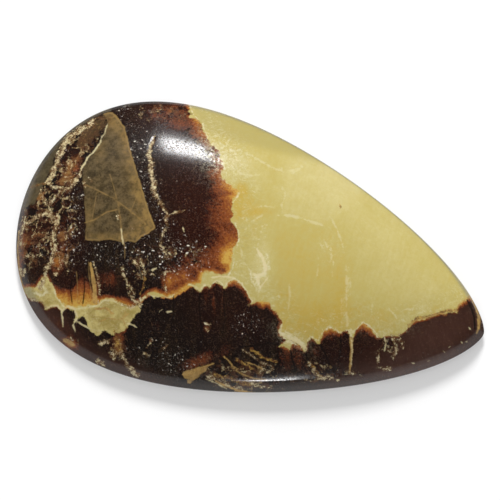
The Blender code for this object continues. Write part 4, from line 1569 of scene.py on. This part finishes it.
@dataclass(frozen=True)
class CutStone:
    """The whole cabochon as one closed mesh with its pattern."""

    shape: PearShape
    camera: PhotoCamera
    finish: CalciteFinish
    cells_long: int = 160
    cells_wide: int = 98
    chamfer_rows: int = 2
    girdle_rows: int = 1
    wall_rows: int = 4
    coarse_top: float = 1.01
    top_slack: float = 1e-4
    rim_slack: float = 1e-5
    sharp_angle_deg: float = 40.0
    pattern_shear: float = 0.35
    wall_top: float = 1.88 * MM
    wall_blend: float = 0.30 * MM
    pit_depth: float = 0.035 * MM
    pit_rate: float = 12.0 / MM
    pit_bends: Point = (1.7, 1.9)
    pit_paces: tuple[float, float, float] = (0.71, 1.13, 0.63)
    pit_edges: Point = (0.35, 0.65)
    seam_fade: float = 1.6
    seam_start: float = 0.3
    seam_depths: Point = (0.6, 0.4)
    plain_rim: float = 1.3 * MM

    def rows(self) -> tuple[int, ...]:
        """Rows of faces in each step of the wall, from the back up."""
        shoulder = (1,) * self.shape.shoulder_steps
        return (self.chamfer_rows, self.girdle_rows, self.wall_rows) + shoulder

    def slab(self) -> bpy.types.Object:
        """A square slab of small faces: the back, one storey for each step of the wall, the top.

        Returns:
            The slab. A corner's height tells its place in the wall.
        """
        bpy.ops.object.select_all(action="DESELECT")
        bpy.ops.mesh.primitive_grid_add(
            x_subdivisions=self.cells_long, y_subdivisions=self.cells_wide, size=2.0
        )
        stone = bpy.context.active_object
        stone.name = "calcite_cabochon"
        bpy.ops.object.mode_set(mode="EDIT")
        bpy.ops.mesh.select_all(action="SELECT")
        for count in self.rows():
            for _ in range(count):
                bpy.ops.mesh.extrude_region_move(
                    TRANSFORM_OT_translate={"value": (0.0, 0.0, 1.0 / count)}
                )
        bpy.ops.object.mode_set(mode="OBJECT")
        mesh = stone.data
        finer = [polygon.center.z > self.coarse_top for polygon in mesh.polygons]
        mesh.polygons.foreach_set("select", finer)
        bpy.ops.object.mode_set(mode="EDIT")
        bpy.ops.mesh.select_mode(type="FACE")
        bpy.ops.mesh.subdivide(number_cuts=1)
        bpy.ops.mesh.select_all(action="SELECT")
        bpy.ops.mesh.normals_make_consistent(inside=False)
        bpy.ops.object.mode_set(mode="OBJECT")
        return stone

    def shaped(self, flat: np.ndarray) -> tuple[np.ndarray, np.ndarray]:
        """Where the slab's corners lie on the stone.

        Args:
            flat: The corners' places on the slab.

        Returns:
            Their places on the stone and their insets, in metres.
        """
        u, v, level = flat[:, 0], flat[:, 1], flat[:, 2]
        disc_x = u * np.sqrt(1.0 - v * v / 2.0)
        disc_y = v * np.sqrt(1.0 - u * u / 2.0)
        angle = np.arctan2(disc_y, disc_x)
        out = np.clip(np.hypot(disc_x, disc_y), 0.0, 1.0)
        knots = self.shape.wall_knots()
        steps = np.arange(len(knots))
        edge = np.interp(level, steps, [k[0] for k in knots])
        height = np.interp(level, steps, [k[1] for k in knots])
        inset = edge + (self.shape.width / 2.0 - edge) * (1.0 - out)
        on_top = level > len(knots) - 1 - self.top_slack
        on_dome = on_top & (out < 1.0 - self.rim_slack)
        height = np.where(on_dome, self.shape.dome_height(inset), height)
        x, y = self.shape.outline(angle, inset)
        return np.column_stack((x, y, height)), inset

    def seen_at(self, places: np.ndarray, inset: np.ndarray) -> tuple[np.ndarray, np.ndarray]:
        """Where in the pattern each point lies.

        Args:
            places: The points, in metres.
            inset: Their insets, in metres.

        Returns:
            Columns and rows, in pixels.
        """
        top = places.copy()
        top[:, 2] = self.shape.top_height(inset)
        below = np.maximum(top[:, 2] - places[:, 2], 0.0)
        top[:, 0] += below * self.pattern_shear
        top[:, 1] += below * self.pattern_shear
        return self.camera.to_pixels(top)

    def pits(
        self, layers: dict[str, np.ndarray], places: np.ndarray, inset: np.ndarray
    ) -> np.ndarray:
        """How far the top lies below the polished dome, in its granular seams and pits.

        Args:
            layers: The pattern's layers.
            places: The points, in metres.
            inset: Their insets, in metres.

        Returns:
            Depths in metres, none near the edge.
        """
        x, y = places[:, 0] * self.pit_rate, places[:, 1] * self.pit_rate
        bends, paces = self.pit_bends, self.pit_paces
        waves = np.sin(x + bends[0] * np.sin(paces[0] * y))
        waves *= np.sin(paces[1] * y + bends[1] * np.sin(paces[2] * x))
        seam = np.clip(layers["cream"][:, 2] / self.seam_fade + self.seam_start, 0.0, 1.0)
        seam *= self.seam_depths[0] + self.seam_depths[1] * waves
        holes = np.interp(waves, self.pit_edges, (0.0, 1.0)) * layers["mottle"]
        inner = np.clip((inset - self.plain_rim) / self.plain_rim, 0.0, 1.0)
        return self.pit_depth * np.maximum(seam, holes) * inner

    def build(self) -> bpy.types.Object:
        """Builds the stone and gives it its pattern and finish.

        Returns:
            The stone's object.
        """
        stone = self.slab()
        mesh = stone.data
        flat = np.zeros(len(mesh.vertices) * 3)
        mesh.vertices.foreach_get("co", flat)
        places, inset = self.shaped(flat.reshape(-1, 3))
        columns, rows = self.seen_at(places, inset)
        layers = Pattern(columns, rows).layers()
        # Painted shade: share of the darkened wall and shoulder foot, from the back up to wall_top
        layers["wall"] = np.clip((self.wall_top - places[:, 2]) / self.wall_blend, 0.0, 1.0)
        on_top = places[:, 2] > self.shape.shoulder_z
        places[:, 2] -= np.where(on_top, self.pits(layers, places, inset), 0.0)
        mesh.vertices.foreach_set("co", places.ravel())
        mesh.update()
        for name, values in layers.items():
            if values.ndim == 1:
                layer = mesh.attributes.new(name, "FLOAT", "POINT")
                layer.data.foreach_set("value", values.astype(np.float32))
            else:
                layer = mesh.attributes.new(name, "FLOAT_VECTOR", "POINT")
                layer.data.foreach_set("vector", values.astype(np.float32).ravel())
        bpy.ops.object.select_all(action="DESELECT")
        stone.select_set(True)
        bpy.context.view_layer.objects.active = stone
        bpy.ops.object.shade_smooth_by_angle(angle=math.radians(self.sharp_angle_deg))
        mesh.materials.clear()
        mesh.materials.append(self.finish.material())
        return stone


@dataclass(frozen=True)
class AreaLight:
    """One soft light: where it is seen from the stone, how big and how strong it is."""

    name: str
    azimuth_deg: float
    elevation_deg: float
    distance: float
    size: Point
    power: float
    in_reflections: bool

    def build(self) -> bpy.types.Object:
        """Makes the light, facing the stone.

        Returns:
            The light's object.
        """
        data = bpy.data.lights.new(self.name, "AREA")
        data.shape = "RECTANGLE"
        data.size, data.size_y = self.size
        data.energy = self.power
        light = bpy.data.objects.new(self.name, data)
        bpy.context.scene.collection.objects.link(light)
        a, e = math.radians(self.azimuth_deg), math.radians(self.elevation_deg)
        towards = Vector((math.sin(a) * math.cos(e), -math.cos(a) * math.cos(e), math.sin(e)))
        light.location = towards * self.distance
        light.rotation_mode = "QUATERNION"
        light.rotation_quaternion = towards.to_track_quat("Z", "Y")
        light.visible_glossy = self.in_reflections
        return light


@dataclass(frozen=True)
class Studio:
    """A plain white floor under soft light."""

    floor_size: float = 3.0
    floor_cells: int = 8
    floor_gap: float = 0.02 * MM
    floor_colour: Colour = (0.53, 0.53, 0.53)
    floor_roughness: float = 0.9
    floor_specular: float = 0.1
    floor_glow: float = 0.33
    ambient: float = 0.60
    card: float = 0.44
    card_top: Point = (-0.15, 0.10)
    card_side: Point = (0.15, 0.50)
    under_top: Point = (-0.80, -0.65)
    under_share: float = 0.55
    dark_room: float = 0.03
    lights: tuple[AreaLight, ...] = (
        AreaLight("back_softbox", 195.6, 30.0, 1.0, (0.155, 0.11), 1.45, True),
        AreaLight("front_strip", 17.5, 13.0, 1.0, (0.10, 0.09), 0.9, True),
        AreaLight("key", 197.0, 42.0, 1.0, (0.22, 0.22), 10.5, False),
    )

    def surroundings(self, sheet: NodeSheet) -> Socket:
        """How bright the room is to each kind of ray.

        It is white behind the floor, even on matt surfaces and dim in reflections.

        Args:
            sheet: The world's nodes.

        Returns:
            The brightness.
        """
        ray = sheet.add("LightPath")
        way = sheet.add("SeparateXYZ")
        sheet.put(way.inputs[0], sheet.add("TexCoord").outputs["Generated"])
        low = sheet.span(way.outputs["Z"], *self.card_top, 1.0, 0.0)
        front = sheet.span(way.outputs["Y"], *self.card_side, 1.0, 0.0)
        under = sheet.span(way.outputs["Z"], *self.under_top, self.under_share, 0.0)
        floor = sheet.math("MAXIMUM", sheet.times(low, front), under)
        glossy = sheet.plus(sheet.times(floor, self.card), self.dark_room)
        matt = sheet.times(ray.outputs["Is Diffuse Ray"], self.ambient)
        rest = sheet.times(ray.outputs["Is Glossy Ray"], glossy)
        return sheet.plus(matt, rest, ray.outputs["Is Camera Ray"])

    def build(self) -> None:
        """Makes the floor, the lights and the dim surroundings."""
        bpy.ops.object.select_all(action="DESELECT")
        bpy.ops.mesh.primitive_grid_add(
            x_subdivisions=self.floor_cells,
            y_subdivisions=self.floor_cells,
            size=self.floor_size,
            location=(0.0, 0.0, -self.floor_gap),
        )
        floor = bpy.context.active_object
        floor.name = "floor"
        material = bpy.data.materials.new("white_floor")
        material.use_nodes = True
        shader = material.node_tree.nodes["Principled BSDF"]
        shader.inputs["Base Color"].default_value = (*self.floor_colour, 1.0)
        shader.inputs["Roughness"].default_value = self.floor_roughness
        shader.inputs["Specular IOR Level"].default_value = self.floor_specular
        shader.inputs["Emission Color"].default_value = (1.0, 1.0, 1.0, 1.0)
        shader.inputs["Emission Strength"].default_value = self.floor_glow
        floor.data.materials.append(material)
        for light in self.lights:
            light.build()
        floor.visible_glossy = False
        world = bpy.data.worlds.new("surroundings")
        world.use_nodes = True
        background = world.node_tree.nodes["Background"]
        background.inputs["Color"].default_value = (1.0, 1.0, 1.0, 1.0)
        sheet = NodeSheet(world)
        sheet.put(background.inputs["Strength"], self.surroundings(sheet))
        bpy.context.scene.world = world
        bpy.context.scene.view_settings.view_transform = "Standard"


def corners(bounds: tuple[Vector, Vector]) -> list[list[float]]:
    """A box's lowest and highest corners as plain lists."""
    return [list(corner) for corner in bounds]


def main() -> None:
    """Builds the stone, the studio and the camera, and reports each."""
    logging.basicConfig(level=logging.INFO, format="%(name)s: %(message)s")
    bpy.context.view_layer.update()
    camera = PhotoCamera()
    camera.build()
    LOG.info("camera with a %.0f mm lens", camera.lens_mm())
    stone = CutStone(PearShape(), camera, CalciteFinish()).build()
    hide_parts("cabochon")
    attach(stone, "root")
    LOG.info("stone with %d faces", len(stone.data.polygons))
    studio = Studio()
    studio.build()
    LOG.info("studio with %d lights", len(studio.lights))


if __name__ == "__main__":
    main()
